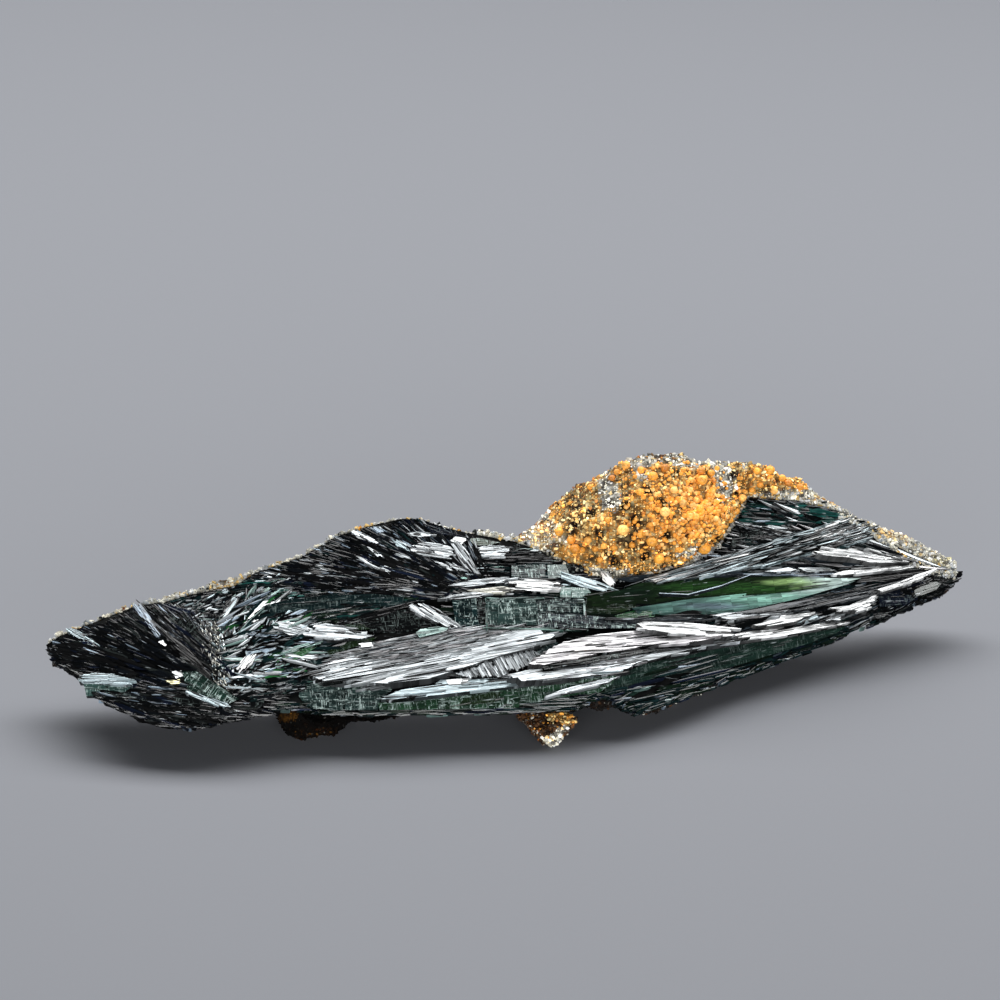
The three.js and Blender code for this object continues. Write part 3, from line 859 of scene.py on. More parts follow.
FACETS: tuple[Facet, ...] = (
    # the left fan, its under layers and the pale block at its tip
    Facet(Tint.FROST, STRIATED, -30, -9, 0.7, ((68, 630), (75, 629), (86, 634), (97, 643), (91, 645),
          (79, 641))),
    Facet(Tint.STEEL, STRIATED, -52, -6, 0.9, ((133, 606), (141, 604), (150, 616), (159, 634), (157, 638))),
    Facet(Tint.UMBER, STRIATED, -42, 18, 0.9, ((154, 628), (160, 629), (185, 645), (211, 675), (206, 677),
          (178, 655))),
    Facet(Tint.JET, GLASSY, -40, 18, 0.5, ((141, 604), (158, 609), (196, 626), (205, 640), (211, 674),
          (185, 645), (160, 628), (151, 616))),
    Facet(Tint.NAVY, GLASSY, -22, 13, 0.6, ((147, 605), (166, 604), (195, 612), (207, 628), (197, 627),
          (158, 611))),
    Facet(Tint.ASH, STRIATED, -20, 0, 0.8, ((123, 640), (150, 647), (170, 651), (186, 662), (178, 665),
          (150, 656))),
    Facet(Tint.WHITE, WHOLE, -30, -9, 1.0, ((157, 643), (163, 640), (168, 646), (161, 649))),
    Facet(Tint.WHITE, WHOLE, -10, -9, 1.1, ((173, 671), (181, 670), (183, 675), (176, 678))),
    Facet(Tint.STRAW, WHOLE, 0, -6, 1.0, ((167, 680), (181, 679), (181, 683), (171, 684))),
    Facet(Tint.FROST, STRIATED, 0, -5, 1.4, ((82, 677), (90, 673), (104, 673), (122, 676), (128, 680),
          (128, 685), (108, 684), (84, 684))),
    Facet(Tint.TARN, CRACKED, 0, 8, 1.3, ((84, 684), (108, 684), (129, 685), (130, 688), (124, 692),
          (104, 693), (93, 696), (86, 696))),
    Facet(Tint.INK, GLASSY, -6, 12, 1.0, ((90, 696), (130, 692), (150, 698), (146, 703), (110, 701))),
    Facet(Tint.KELP, CRACKED, -28, 8, 1.0, ((182, 672), (196, 671), (212, 681), (228, 692), (239, 699),
          (228, 704), (214, 702), (200, 696), (188, 691))),
    Facet(Tint.FROST, STRIATED, -22, -8, 1.2, ((186, 690), (200, 694), (214, 700), (228, 703), (228, 706),
          (212, 704), (196, 698), (187, 694))),
    Facet(Tint.JET, GLASSY, -4, 12, 0.9, ((176, 697), (200, 700), (225, 708), (262, 700), (262, 706),
          (230, 713), (190, 711))),
    # the bright lenses between the left fan and the cave
    Facet(Tint.WHITE, PEARLY, 38, -8, 0.9, ((248, 619), (256, 609), (263, 601), (279, 600), (275, 606),
          (268, 613), (266, 619))),
    Facet(Tint.LAGOON, GLASSY, -5, 4, 0.7, ((270, 590), (285, 588), (298, 592), (303, 596), (285, 598),
          (272, 595))),
    Facet(Tint.SAGE, WHOLE, 20, -5, 0.8, ((255, 598), (262, 593), (268, 587), (275, 591), (282, 597),
          (268, 596))),
    Facet(Tint.LAGOON, GLASSY, 10, 4, 0.8, ((275, 613), (283, 608), (296, 609), (298, 616), (285, 619))),
    Facet(Tint.PINE, GLASSY, 6, 14, 0.5, ((262, 606), (290, 599), (330, 596), (370, 594), (406, 597),
          (404, 603), (372, 614), (340, 620), (300, 622), (276, 618))),
    Facet(Tint.JET, STRIATED, 15, 10, 0.9, ((338, 621), (372, 613), (404, 603), (405, 608), (380, 617),
          (346, 624))),
    Facet(Tint.JET, GLASSY, 5, 20, 0.2, ((350, 622), (372, 616), (405, 609), (420, 613), (438, 624),
          (420, 629), (400, 633), (376, 632), (360, 627))),
    Facet(Tint.SILVER, PEARLY, -12, -8, 1.0, ((276, 623), (285, 620), (296, 622), (308, 627), (313, 631),
          (305, 634), (290, 635), (280, 630))),
    Facet(Tint.SILVER, PEARLY, -6, -7, 1.1, ((308, 634), (315, 625), (325, 623), (345, 627), (357, 632),
          (374, 632), (372, 635), (360, 638), (345, 640), (328, 640), (312, 637))),
    Facet(Tint.STEEL, STRIATED, -3, -4, 0.7, ((255, 632), (276, 634), (308, 639), (330, 641), (300, 645),
          (262, 642))),
    Facet(Tint.MOSS, GLASSY, -10, 6, 0.8, ((337, 622), (350, 621), (366, 625), (370, 629), (355, 630))),
    Facet(Tint.SILVER, STRIATED, -33, -6, 1.2, ((409, 609), (414, 606), (427, 605), (440, 610), (449, 618),
          (459, 624), (456, 627), (445, 626), (430, 620))),
    Facet(Tint.MINT, WHOLE, 8, -5, 1.2, ((416, 633), (420, 629), (435, 627), (450, 627), (446, 631),
          (432, 634), (420, 637))),
    Facet(Tint.WHITE, WHOLE, 5, -8, 1.3, ((359, 643), (372, 642), (372, 646), (360, 647))),
    Facet(Tint.FERN, GLASSY, 25, 6, 1.0, ((279, 661), (284, 653), (292, 648), (305, 645), (323, 643),
          (308, 653), (295, 660))),
    Facet(Tint.MINT, STRIATED, 18, -8, 1.1, ((284, 652), (296, 646), (323, 641), (323, 643), (300, 648),
          (285, 655))),
    Facet(Tint.MOSS, GLASSY, 18, 8, 0.9, ((320, 651), (345, 642), (373, 637), (374, 641), (350, 648),
          (330, 656))),
    Facet(Tint.STEEL, CRACKED, 30, 0, 0.9, ((245, 651), (262, 646), (275, 647), (281, 655), (276, 662),
          (262, 668), (250, 668))),
    Facet(Tint.WHITE, STRIATED, 50, -8, 1.2, ((237, 667), (245, 656), (256, 655), (252, 664), (243, 671))),
    Facet(Tint.PINE, GLASSY, 15, 12, 0.8, ((285, 671), (298, 664), (313, 660), (318, 662), (302, 671))),
    # the pearly sheet, the lozenge and the bright bands of the middle
    Facet(Tint.SILVER, PEARLY, 11, -6, 0.8, ((312, 674), (340, 660), (375, 645), (418, 638), (455, 631),
          (500, 629), (545, 629), (553, 636), (540, 645), (500, 655), (460, 668), (430, 678), (390, 683),
          (330, 681))),
    Facet(Tint.FJORD, CRACKED, 0, 13, 1.2, ((300, 688), (312, 683), (330, 681), (345, 684), (345, 710),
          (330, 710), (315, 709), (304, 703), (299, 696))),
    Facet(Tint.FJORD, CRACKED, 0, 8, 1.2, ((345, 684), (370, 683), (392, 684), (392, 690), (380, 700),
          (378, 710), (345, 710))),
    Facet(Tint.SILVER, STRIATED, 12, -6, 1.3, ((370, 686), (400, 677), (455, 667), (455, 670), (405, 682),
          (372, 689))),
    Facet(Tint.JET, GLASSY, 14, 18, 1.15, ((430, 679), (470, 662), (530, 648), (553, 640), (556, 642),
          (535, 651), (495, 661), (470, 669), (440, 677))),
    Facet(Tint.SILVER, STRIATED, -60, -5, 1.4, ((455, 673), (475, 668), (495, 660), (520, 653), (535, 651),
          (541, 655), (528, 665), (510, 672), (495, 676), (462, 676))),
    Facet(Tint.JET, WHOLE, 0, 14, 1.5, ((450, 674), (462, 673), (492, 676), (470, 678), (452, 677))),
    Facet(Tint.PINE, GLASSY, 25, 12, 1.4, ((533, 653), (545, 646), (560, 640), (563, 644), (550, 650),
          (541, 657))),
    Facet(Tint.ROSE, PEARLY, 5, -7, 1.3, ((529, 663), (545, 655), (556, 645), (568, 640), (600, 634),
          (640, 630), (690, 634), (712, 638), (690, 642), (640, 647), (600, 653), (560, 661), (542, 665))),
    Facet(Tint.JET, GLASSY, 8, 14, 1.15, ((545, 666), (600, 656), (650, 648), (700, 641), (745, 634),
          (745, 636), (700, 644), (650, 652), (600, 661), (548, 669))),
    Facet(Tint.SILVER, PEARLY, 8, -7, 1.1, ((512, 674), (530, 669), (560, 667), (600, 661), (650, 652),
          (740, 637), (742, 640), (690, 650), (640, 662), (620, 671), (580, 677), (520, 681))),
    Facet(Tint.FROST, PEARLY, 6, -7, 1.25, ((378, 699), (400, 690), (440, 684), (447, 679), (490, 678),
          (560, 677), (620, 670), (615, 674), (560, 681), (500, 688), (440, 695), (400, 699))),
    Facet(Tint.WHITE, WHOLE, 3, -8, 1.5, ((447, 679), (470, 678), (468, 683), (450, 684))),
    Facet(Tint.IVY, CRACKED, 4, 20, 0.9, ((378, 703), (400, 699), (440, 696), (500, 690), (560, 682),
          (618, 674), (612, 684), (592, 697), (575, 705), (520, 708), (450, 709), (380, 710))),
    Facet(Tint.MOSS, GLASSY, 12, 18, 1.2, ((440, 702), (470, 694), (500, 692), (495, 702), (450, 706))),
    Facet(Tint.SILVER, PEARLY, 14, -7, 1.4, ((541, 697), (560, 690), (590, 682), (618, 676), (602, 684),
          (572, 692))),
    Facet(Tint.KELP, GLASS, 13, 18, 0.8, ((606, 691), (620, 675), (645, 664), (690, 654), (740, 645),
          (790, 637), (847, 626), (835, 634), (800, 646), (760, 658), (720, 671), (690, 684), (660, 697),
          (636, 706), (622, 699))),
    Facet(Tint.WHITE, PEARLY, -3, -8, 1.5, ((640, 623), (680, 622), (705, 624), (725, 627), (729, 635),
          (715, 637), (680, 634), (650, 629))),
    # the long green lens and what lies along it
    Facet(Tint.OLIVE, GEM, 5, 22, 0.8, ((588, 593), (620, 590), (640, 583), (680, 579), (740, 577),
          (800, 576), (830, 578), (862, 578), (830, 586), (790, 592), (740, 596), (690, 601), (650, 605),
          (610, 608), (586, 606)), ((Tint.MEADOW, (750, 588), (80, 8)), (Tint.CHARTREUSE, (796, 582),
          (48, 4.2)), (Tint.ICE, (836, 580), (46, 9)), (Tint.BOTTLE, (630, 592), (50, 13)), (Tint.MEADOW,
          (695, 588), (56, 10)))),
    Facet(Tint.SAGE, GEM, 7, 22, 1.0, ((632, 608), (690, 599), (740, 594), (790, 589), (830, 583),
          (865, 577), (845, 585), (800, 598), (760, 607), (730, 613), (690, 615), (640, 615)), ((Tint.REED,
          (770, 596), (100, 12)), (Tint.ICE, (822, 587), (74, 12)), (Tint.PINE, (632, 612), (40, 9)),
          (Tint.STEEL, (712, 606), (44, 5)))),
    Facet(Tint.STEEL, WHOLE, 14, -4, 1.05, ((661, 592.3), (690, 593.2), (720, 585.2), (750, 574.2),
          (750, 574.8), (720, 586), (690, 594), (661, 593))),
    Facet(Tint.FERN, GLASSY, 6, 4, 1.15, ((618, 615), (635, 610), (655, 611), (652, 618), (625, 620))),
    Facet(Tint.SLATE, STRIATED, 2, 20, 1.15, ((600, 619), (650, 617), (700, 614), (722, 617), (700, 622),
          (640, 623))),
    # the glassy blocks and the blades above them
    Facet(Tint.PINE, CRACKED, 0, 14, 1.25, ((452, 600), (476, 598), (479, 626), (456, 627))),
    Facet(Tint.JET, WHOLE, 0, 14, 1.1, ((476, 599), (486, 599), (487, 627), (478, 627))),
    Facet(Tint.FJORD, CRACKED, 0, 13, 1.35, ((486, 600), (510, 598), (536, 599), (538, 613), (538, 627),
          (486, 627))),
    Facet(Tint.PINE, CRACKED, 0, 10, 1.25, ((536, 599), (584, 598), (586, 614), (538, 613))),
    Facet(Tint.SLATE, CRACKED, -3, 8, 1.4, ((538, 613), (586, 615), (620, 619), (645, 624), (640, 628),
          (590, 628), (538, 627))),
    Facet(Tint.MOSS, GLASSY, 0, 10, 1.1, ((584, 600), (620, 604), (640, 607), (620, 614), (586, 614))),
    Facet(Tint.SAGE, STRIATED, 0, -6, 1.45, ((486, 627), (540, 628), (586, 629), (586, 630), (540, 630),
          (486, 629))),
    Facet(Tint.SAGE, STRIATED, 90, 0, 1.5, ((485, 600), (487, 600), (488, 627), (486, 627))),
    Facet(Tint.SAGE, STRIATED, 0, -4, 1.5, ((488, 598), (536, 597), (560, 597), (536, 599), (488, 600))),
    Facet(Tint.MINT, WHOLE, 90, 0, 1.5, ((583, 600), (585, 600), (586, 616), (584, 616))),
    Facet(Tint.PINE, CRACKED, 0, 12, 1.15, ((512, 565), (545, 564), (546, 578), (512, 577))),
    Facet(Tint.TARN, CRACKED, 0, 6, 1.2, ((547, 565), (566, 564), (569, 572), (562, 578), (548, 578))),
    Facet(Tint.JET, WHOLE, 0, 14, 1.1, ((566, 563), (583, 565), (584, 574), (571, 573))),
    Facet(Tint.WHITE, STRIATED, -3, -8, 1.2, ((513, 581), (530, 579), (548, 580), (557, 583), (556, 590),
          (535, 592), (515, 588))),
    Facet(Tint.FROST, PEARLY, -18, -8, 1.3, ((566, 574), (576, 575), (600, 582), (620, 590), (600, 591),
          (580, 586), (566, 580))),
    Facet(Tint.WHITE, WHOLE, -50, -8, 1.3, ((601, 571), (608, 571), (616, 583), (611, 587), (602, 579))),
    Facet(Tint.SAGE, CRACKED, 0, 0, 1.25, ((560, 586), (588, 588), (592, 594), (588, 598), (560, 597))),
    Facet(Tint.SILVER, STRIATED, 5, -6, 1.2, ((440, 599), (455, 594), (475, 592), (491, 593), (482, 597),
          (455, 599))),
    Facet(Tint.SILVER, STRIATED, 6, -6, 1.1, ((449, 586), (470, 580), (498, 577), (512, 579), (500, 583),
          (470, 586))),
    Facet(Tint.CHALK, STRIATED, 2, -4, 1.1, ((470, 590), (500, 586), (515, 590), (500, 594), (480, 593))),
    Facet(Tint.SILVER, STRIATED, -52, -6, 1.5, ((452, 545), (462, 545), (468, 552), (474, 562), (480, 573),
          (470, 570), (460, 561))),
    Facet(Tint.WHITE, WHOLE, -20, -8, 1.5, ((452, 541), (456, 537), (464, 537), (466, 540), (460, 544))),
    Facet(Tint.SILVER, STRIATED, 0, -5, 1.0, ((478, 549), (490, 545), (508, 546), (508, 558), (486, 558))),
    Facet(Tint.JET, WHOLE, 0, 12, 1.0, ((508, 547), (514, 543), (522, 545), (520, 550), (513, 552))),
    Facet(Tint.MOSS, CRACKED, 0, 4, 0.9, ((468, 538), (480, 538), (500, 542), (490, 545), (475, 545))),
    Facet(Tint.JET, STRIATED, 2, 14, 0.9, ((508, 553), (540, 552), (562, 563), (540, 564), (510, 562))),
    # bright splinters of the dark crest
    Facet(Tint.SILVER, STRIATED, -25, -8, 0.9, ((352, 533), (362, 532), (378, 541), (374, 543),
          (358, 538))),
    Facet(Tint.SILVER, STRIATED, -25, -8, 1.0, ((357, 557), (366, 559), (392, 572), (388, 573),
          (372, 567))),
    Facet(Tint.SILVER, STRIATED, -35, -8, 1.0, ((368, 547), (374, 549), (384, 557), (378, 557))),
    Facet(Tint.STEEL, STRIATED, -30, -6, 0.9, ((371, 528), (380, 526), (384, 531), (377, 533))),
    Facet(Tint.SILVER, STRIATED, -8, -6, 0.9, ((413, 546), (425, 542), (445, 545), (456, 553), (448, 558),
          (425, 556), (414, 552))),
    Facet(Tint.SILVER, STRIATED, -6, -6, 0.8, ((405, 533), (425, 532), (436, 535), (420, 537))),
    Facet(Tint.FROST, STRIATED, -35, -6, 0.9, ((394, 541), (405, 543), (412, 552), (400, 548))),
    Facet(Tint.SILVER, STRIATED, -12, -6, 0.9, ((430, 560), (455, 565), (470, 571), (450, 570))),
    Facet(Tint.NAVY, GLASSY, -18, 8, 0.7, ((395, 521), (410, 520), (436, 526), (455, 533), (462, 537),
          (440, 534), (410, 529))),
    # the right fan
    Facet(Tint.JET, GLASSY, -3, 18, 0.6, ((752, 501), (768, 500), (790, 504), (836, 510), (845, 515),
          (800, 511), (760, 508))),
    Facet(Tint.PINE, GLASSY, -3, 10, 0.7, ((746, 513), (775, 509), (830, 513), (851, 520), (800, 518),
          (756, 517))),
    Facet(Tint.ASH, STRIATED, 0, 0, 0.7, ((756, 519), (800, 519), (849, 521), (820, 525), (785, 523))),
    Facet(Tint.JET, GLASSY, 8, 16, 0.7, ((738, 534), (780, 524), (849, 522), (810, 535), (760, 541),
          (732, 549))),
    Facet(Tint.SILVER, STRIATED, -10, -6, 0.9, ((738, 522), (750, 520), (785, 528), (765, 529),
          (745, 525))),
    Facet(Tint.WHITE, STRIATED, 15, -8, 1.0, ((648, 579), (690, 568), (740, 555), (790, 544), (812, 536),
          (835, 528), (852, 524), (858, 526), (830, 535), (800, 545), (745, 557), (700, 570), (660, 581))),
    Facet(Tint.FROST, STRIATED, 14, -7, 0.9, ((655, 582), (700, 573), (745, 562), (790, 554), (830, 546),
          (850, 541), (870, 535), (860, 542), (830, 551), (790, 560), (745, 568), (700, 577))),
    Facet(Tint.JET, GLASSY, 10, 18, 1.0, ((770, 566), (800, 557), (826, 551), (822, 560), (795, 566))),
    Facet(Tint.WHITE, PEARLY, -6, -8, 1.2, ((822, 553), (845, 549), (862, 548), (870, 549), (890, 554),
          (908, 561), (900, 562), (870, 562), (848, 557), (830, 556))),
    Facet(Tint.WHITE, STRIATED, -15, -8, 1.3, ((868, 549), (885, 550), (900, 555), (906, 559), (890, 556),
          (878, 553))),
    Facet(Tint.WHITE, PEARLY, 6, -8, 1.2, ((834, 573), (860, 568), (912, 565), (920, 566), (905, 569),
          (870, 572), (840, 575))),
    Facet(Tint.SILVER, WHOLE, 4, -8, 1.2, ((765, 571), (790, 567), (798, 569), (785, 572))),
    Facet(Tint.SILVER, WHOLE, 0, -8, 1.2, ((798, 568), (830, 567), (835, 570), (810, 572))),
    Facet(Tint.STEEL, STRIATED, 1, -5, 1.1, ((740, 574), (770, 572), (835, 573), (835, 576), (780, 576))),
    Facet(Tint.UMBER, STRIATED, 6, 8, 1.1, ((842, 577), (870, 573), (905, 570), (930, 570), (915, 575),
          (890, 581), (860, 582))),
    Facet(Tint.SLATE, STRIATED, 12, 4, 1.0, ((735, 613), (760, 608), (800, 601), (838, 592), (870, 583),
          (896, 580), (880, 588), (860, 598), (830, 605), (800, 609), (765, 613))),
    Facet(Tint.WHITE, PEARLY, 15, -8, 1.3, ((828, 608), (850, 605), (866, 598), (879, 588), (876, 598),
          (868, 607), (868, 610), (845, 610))),
    Facet(Tint.WHITE, STRIATED, 20, -8, 1.3, ((879, 589), (900, 582), (922, 572), (932, 571), (928, 575),
          (908, 584), (886, 591))),
    Facet(Tint.BOTTLE, GLASSY, 15, 12, 1.2, ((916, 590), (925, 583), (938, 581), (943, 583), (938, 589),
          (926, 594), (919, 595))),
    Facet(Tint.JET, WHOLE, 0, 10, 1.1, ((932, 573), (944, 573), (948, 577), (944, 585), (940, 582),
          (934, 578))),
    Facet(Tint.NAVY, WHOLE, 0, 8, 0.8, ((945, 575), (950, 573), (960, 572), (957, 575), (948, 577))),
    Facet(Tint.NAVY, GLASSY, 0, 10, 1.1, ((878, 594), (900, 590), (910, 594), (913, 599), (905, 604),
          (880, 607))),
    Facet(Tint.INK, GLASSY, 10, 10, 1.0, ((872, 611), (890, 607), (903, 604), (896, 609), (882, 618),
          (876, 618))),
    Facet(Tint.WHITE, PEARLY, 8, -8, 1.2, ((752, 622), (775, 615), (800, 613), (815, 611), (806, 618),
          (790, 622), (765, 626))),
    Facet(Tint.SILVER, STRIATED, 5, -7, 1.1, ((722, 618), (740, 613), (775, 612), (800, 611), (770, 616),
          (740, 620))),
    Facet(Tint.JET, WHOLE, 8, 14, 1.1, ((727, 622), (745, 617), (756, 618), (748, 624), (735, 629))),
    Facet(Tint.WHITE, PEARLY, 8, -8, 1.2, ((720, 640), (725, 636), (745, 631), (790, 627), (830, 622),
          (848, 621), (845, 624), (800, 633), (740, 641))),
    Facet(Tint.FROST, STRIATED, 20, -6, 1.2, ((800, 622), (808, 614), (818, 612), (815, 619))),
    Facet(Tint.SILVER, STRIATED, 20, -6, 1.2, ((826, 620), (834, 614), (846, 613), (840, 620))),
)


@dataclass(frozen=True)
class Thicket:
    """A stretch of the face that is overgrown with thin laths, and how they look."""

    outline: tuple[Spot, ...]
    count: int
    length: Span
    width: Span
    tints: tuple[tuple[Tint, float, float], ...]
    focus: Spot | None = None
    grain: float = 0
    fray: float = 4
    roll: Span = (14, 34)
    bright_roll: Span = (-11, -3)
    lift: Span = (-0.2, 0.3)
    overhang: float = 0
    # the black lath laid under each bright one, this much wider all round in mm, is a painted shadow along
    # its edges
    edge: float = 0


FAN_MIX = ((Tint.UMBER, 4, 0.1), (Tint.JET, 4, 0.1), (Tint.INK, 3, 0.1), (Tint.NAVY, 1.2, 0.1),
           (Tint.ASH, 1.6, 0.2), (Tint.STEEL, 0.8, 0.8))
CREST_MIX = ((Tint.JET, 5, 0.1), (Tint.INK, 4, 0.1), (Tint.PINE, 1.5, 0.1), (Tint.UMBER, 1, 0.1),
             (Tint.SILVER, 1.7, 0.9), (Tint.STEEL, 2.2, 0.8))
SHARD_MIX = ((Tint.JET, 4, 0.1), (Tint.INK, 3, 0.1), (Tint.PINE, 2, 0.1), (Tint.SILVER, 2, 0.9),
             (Tint.FROST, 1.2, 0.7), (Tint.SAGE, 0.8, 0.5))
CHALK_MIX = ((Tint.CHALK, 3, 0.5), (Tint.FROST, 2, 0.5), (Tint.ASH, 2, 0.2), (Tint.JET, 4, 0.1))
TEAL_MIX = ((Tint.PINE, 5, 0.1), (Tint.LAGOON, 0.8, 0.2), (Tint.JET, 3, 0.1), (Tint.FROST, 0.5, 0.6),
            (Tint.BOTTLE, 2, 0.1))
PEARL_MIX = ((Tint.SILVER, 6, 0.9), (Tint.ROSE, 4, 0.9), (Tint.WHITE, 1.8, 0.9), (Tint.JET, 0.8, 0.1),
             (Tint.SLATE, 0.6, 0.2))
RIGHT_MIX = ((Tint.JET, 5, 0.1), (Tint.INK, 3, 0.1), (Tint.UMBER, 1, 0.1), (Tint.PINE, 1.5, 0.1),
             (Tint.SILVER, 2, 0.9), (Tint.STEEL, 1, 0.8))
FOOT_MIX = ((Tint.PINE, 4, 0.1), (Tint.BOTTLE, 3, 0.1), (Tint.NAVY, 1, 0.1), (Tint.STEEL, 0.4, 0.7),
            (Tint.MINT, 0.2, 0.5))
PANE_MIX = ((Tint.SILVER, 2.2, 0.9), (Tint.FROST, 1.6, 0.7), (Tint.MINT, 1.2, 0.6), (Tint.STEEL, 1.4, 0.7),
            (Tint.JET, 4, 0.1), (Tint.PINE, 4, 0.1), (Tint.FERN, 0.5, 0.1))
BAND_MIX = ((Tint.LAGOON, 4, 0.1), (Tint.PINE, 3, 0.1), (Tint.JET, 2, 0.1), (Tint.STEEL, 0.8, 0.8),
            (Tint.FROST, 0.5, 0.7))
WOOL_MIX = ((Tint.SILVER, 4, 0.9), (Tint.FROST, 4, 0.7), (Tint.WHITE, 1, 0.8), (Tint.JET, 2.4, 0.1),
            (Tint.PINE, 1, 0.1))
BLADE_MIX = ((Tint.UMBER, 3, 0.1), (Tint.JET, 4, 0.1), (Tint.INK, 3, 0.1), (Tint.NAVY, 1.5, 0.1),
             (Tint.ASH, 1, 0.1), (Tint.STEEL, 0.4, 0.8))
SILVER_MIX = ((Tint.JET, 3.6, 0.1), (Tint.INK, 2, 0.1), (Tint.SLATE, 0.6, 0.1), (Tint.SILVER, 4, 0.9),
              (Tint.ROSE, 1.2, 0.9), (Tint.STEEL, 1.2, 0.8), (Tint.PINE, 1, 0.1))

LEFT_FAN = ((48, 646), (62, 637), (100, 621), (134, 606), (165, 603), (200, 615), (205, 640), (212, 672),
            (190, 680), (150, 690), (100, 690), (60, 660))
CREST = ((246, 578), (300, 560), (335, 540), (370, 528), (418, 520), (450, 530), (478, 545), (478, 590),
         (440, 597), (300, 594))
UPPER_FAN = ((650, 578), (735, 550), (742, 520), (752, 503), (820, 510), (850, 520), (925, 566),
             (945, 574), (870, 577), (790, 575), (700, 577))
LOWER_FAN = ((722, 616), (800, 600), (862, 582), (940, 575), (950, 577), (915, 600), (880, 619),
             (850, 622), (740, 636), (715, 634))

LEFT_THICKETS: tuple[Thicket, ...] = (
    # the fan of the left end, from its focus low on the right: broad blades, then thin ones between
    Thicket(LEFT_FAN, 240, (40, 110), (3, 8), BLADE_MIX, focus=(262, 703), fray=1.5, roll=(26, 40),
            lift=(0.0, 0.3)),
    Thicket(LEFT_FAN, 800, (14, 60), (0.8, 2.6), FAN_MIX, focus=(262, 703), fray=2, roll=(24, 42),
            lift=(0.1, 0.45)),
    Thicket(((165, 603), (200, 594), (235, 587), (250, 578), (300, 575), (300, 600), (250, 615),
            (205, 625)), 500, (6, 24), (1.2, 3), SHARD_MIX, grain=14, fray=14, lift=(0.0, 0.4)),
    # the broken, glittering seam beside the fan
    Thicket(((196, 622), (216, 622), (224, 650), (228, 670), (245, 692), (240, 699), (215, 684),
            (205, 660)), 900, (3, 10), (0.6, 1.5), CHALK_MIX, grain=-62, fray=28, roll=(30, 60),
            bright_roll=(-30, 20), lift=(0.15, 0.5)),
    Thicket(((96, 695), (150, 690), (186, 690), (200, 703), (262, 702), (256, 712), (236, 720), (180, 728),
            (150, 715)), 420, (14, 54), (1.2, 3.6), FAN_MIX, grain=-8, fray=5, lift=(0.0, 0.5)),
    # the ragged foot of the left end
    Thicket(((48, 648), (84, 672), (100, 690), (140, 708), (186, 722), (262, 704), (262, 709), (225, 720),
            (186, 729), (150, 718), (96, 699), (78, 678), (50, 656)), 700, (14, 56), (1, 3.6), FAN_MIX,
            grain=-14, fray=9, roll=(14, 34), lift=(-0.3, 0.7), overhang=11),
    Thicket(((215, 625), (240, 600), (262, 600), (330, 640), (330, 660), (300, 690), (262, 702), (235, 692),
            (222, 655)), 900, (8, 36), (0.9, 2.8), SHARD_MIX, focus=(235, 696), fray=5, roll=(36, 62),
            lift=(0.0, 0.45)),
    Thicket(((226, 600), (262, 590), (300, 605), (330, 640), (330, 660), (290, 680), (262, 695), (240, 690),
            (226, 650)), 340, (14, 44), (2.2, 6.5), PANE_MIX, focus=(130, 690), fray=10,
            bright_roll=(-12, 4), lift=(0.25, 0.6), edge=0.1),
    Thicket(((250, 580), (300, 590), (410, 592), (408, 605), (340, 622), (262, 622)), 420, (12, 50),
            (1.2, 3.4), TEAL_MIX, grain=5, fray=4, lift=(0.0, 0.35)),
    # the dark crest: broad blades, then thin ones
    Thicket(CREST, 420, (24, 80), (2.4, 6), BLADE_MIX, focus=(500, 602), fray=3, roll=(12, 28),
            lift=(0.0, 0.35)),
    Thicket(CREST, 1300, (8, 36), (0.9, 2.2), CREST_MIX, focus=(500, 602), fray=4, lift=(0.15, 0.5)),
)
MIDDLE_THICKETS: tuple[Thicket, ...] = (
    Thicket(((320, 676), (345, 655), (380, 643), (418, 637), (455, 631), (545, 630), (553, 637), (500, 655),
            (455, 669), (400, 684), (340, 684)), 1700, (12, 50), (0.8, 2.0), PEARL_MIX, grain=11, fray=1.8,
            bright_roll=(-10, -1), lift=(0.4, 0.62), edge=0.04),
    Thicket(((232, 672), (262, 668), (310, 655), (330, 668), (305, 690), (262, 702), (240, 697)), 500,
            (8, 28), (1, 2.8), SHARD_MIX, focus=(228, 702), fray=7, lift=(0.0, 0.5)),
    # either side of the glassy blocks
    Thicket(((462, 545), (560, 552), (600, 577), (600, 592), (560, 590), (510, 598), (440, 600),
            (440, 575)), 420, (10, 36), (1.2, 3.4), SHARD_MIX, grain=0, fray=3, lift=(0.0, 0.4)),
    Thicket(((450, 596), (600, 592), (640, 606), (650, 624), (560, 630), (440, 632)), 160, (16, 60), (2, 5),
            TEAL_MIX, grain=-1, fray=2, lift=(-0.1, 0.2)),
    # the ragged foot of the middle
    Thicket(((262, 700), (310, 704), (380, 707), (520, 705), (590, 695), (604, 690), (604, 698), (560, 710),
            (520, 713), (380, 716), (310, 713), (262, 708)), 500, (8, 40), (0.9, 2.4), FOOT_MIX, grain=1,
            fray=3, lift=(-0.4, 0.2), overhang=4),
    Thicket(((500, 676), (560, 668), (640, 660), (640, 668), (560, 680), (500, 688)), 160, (14, 50),
            (0.7, 2), PEARL_MIX, grain=6, fray=2, bright_roll=(-9, -3), lift=(0.4, 0.7)),
)
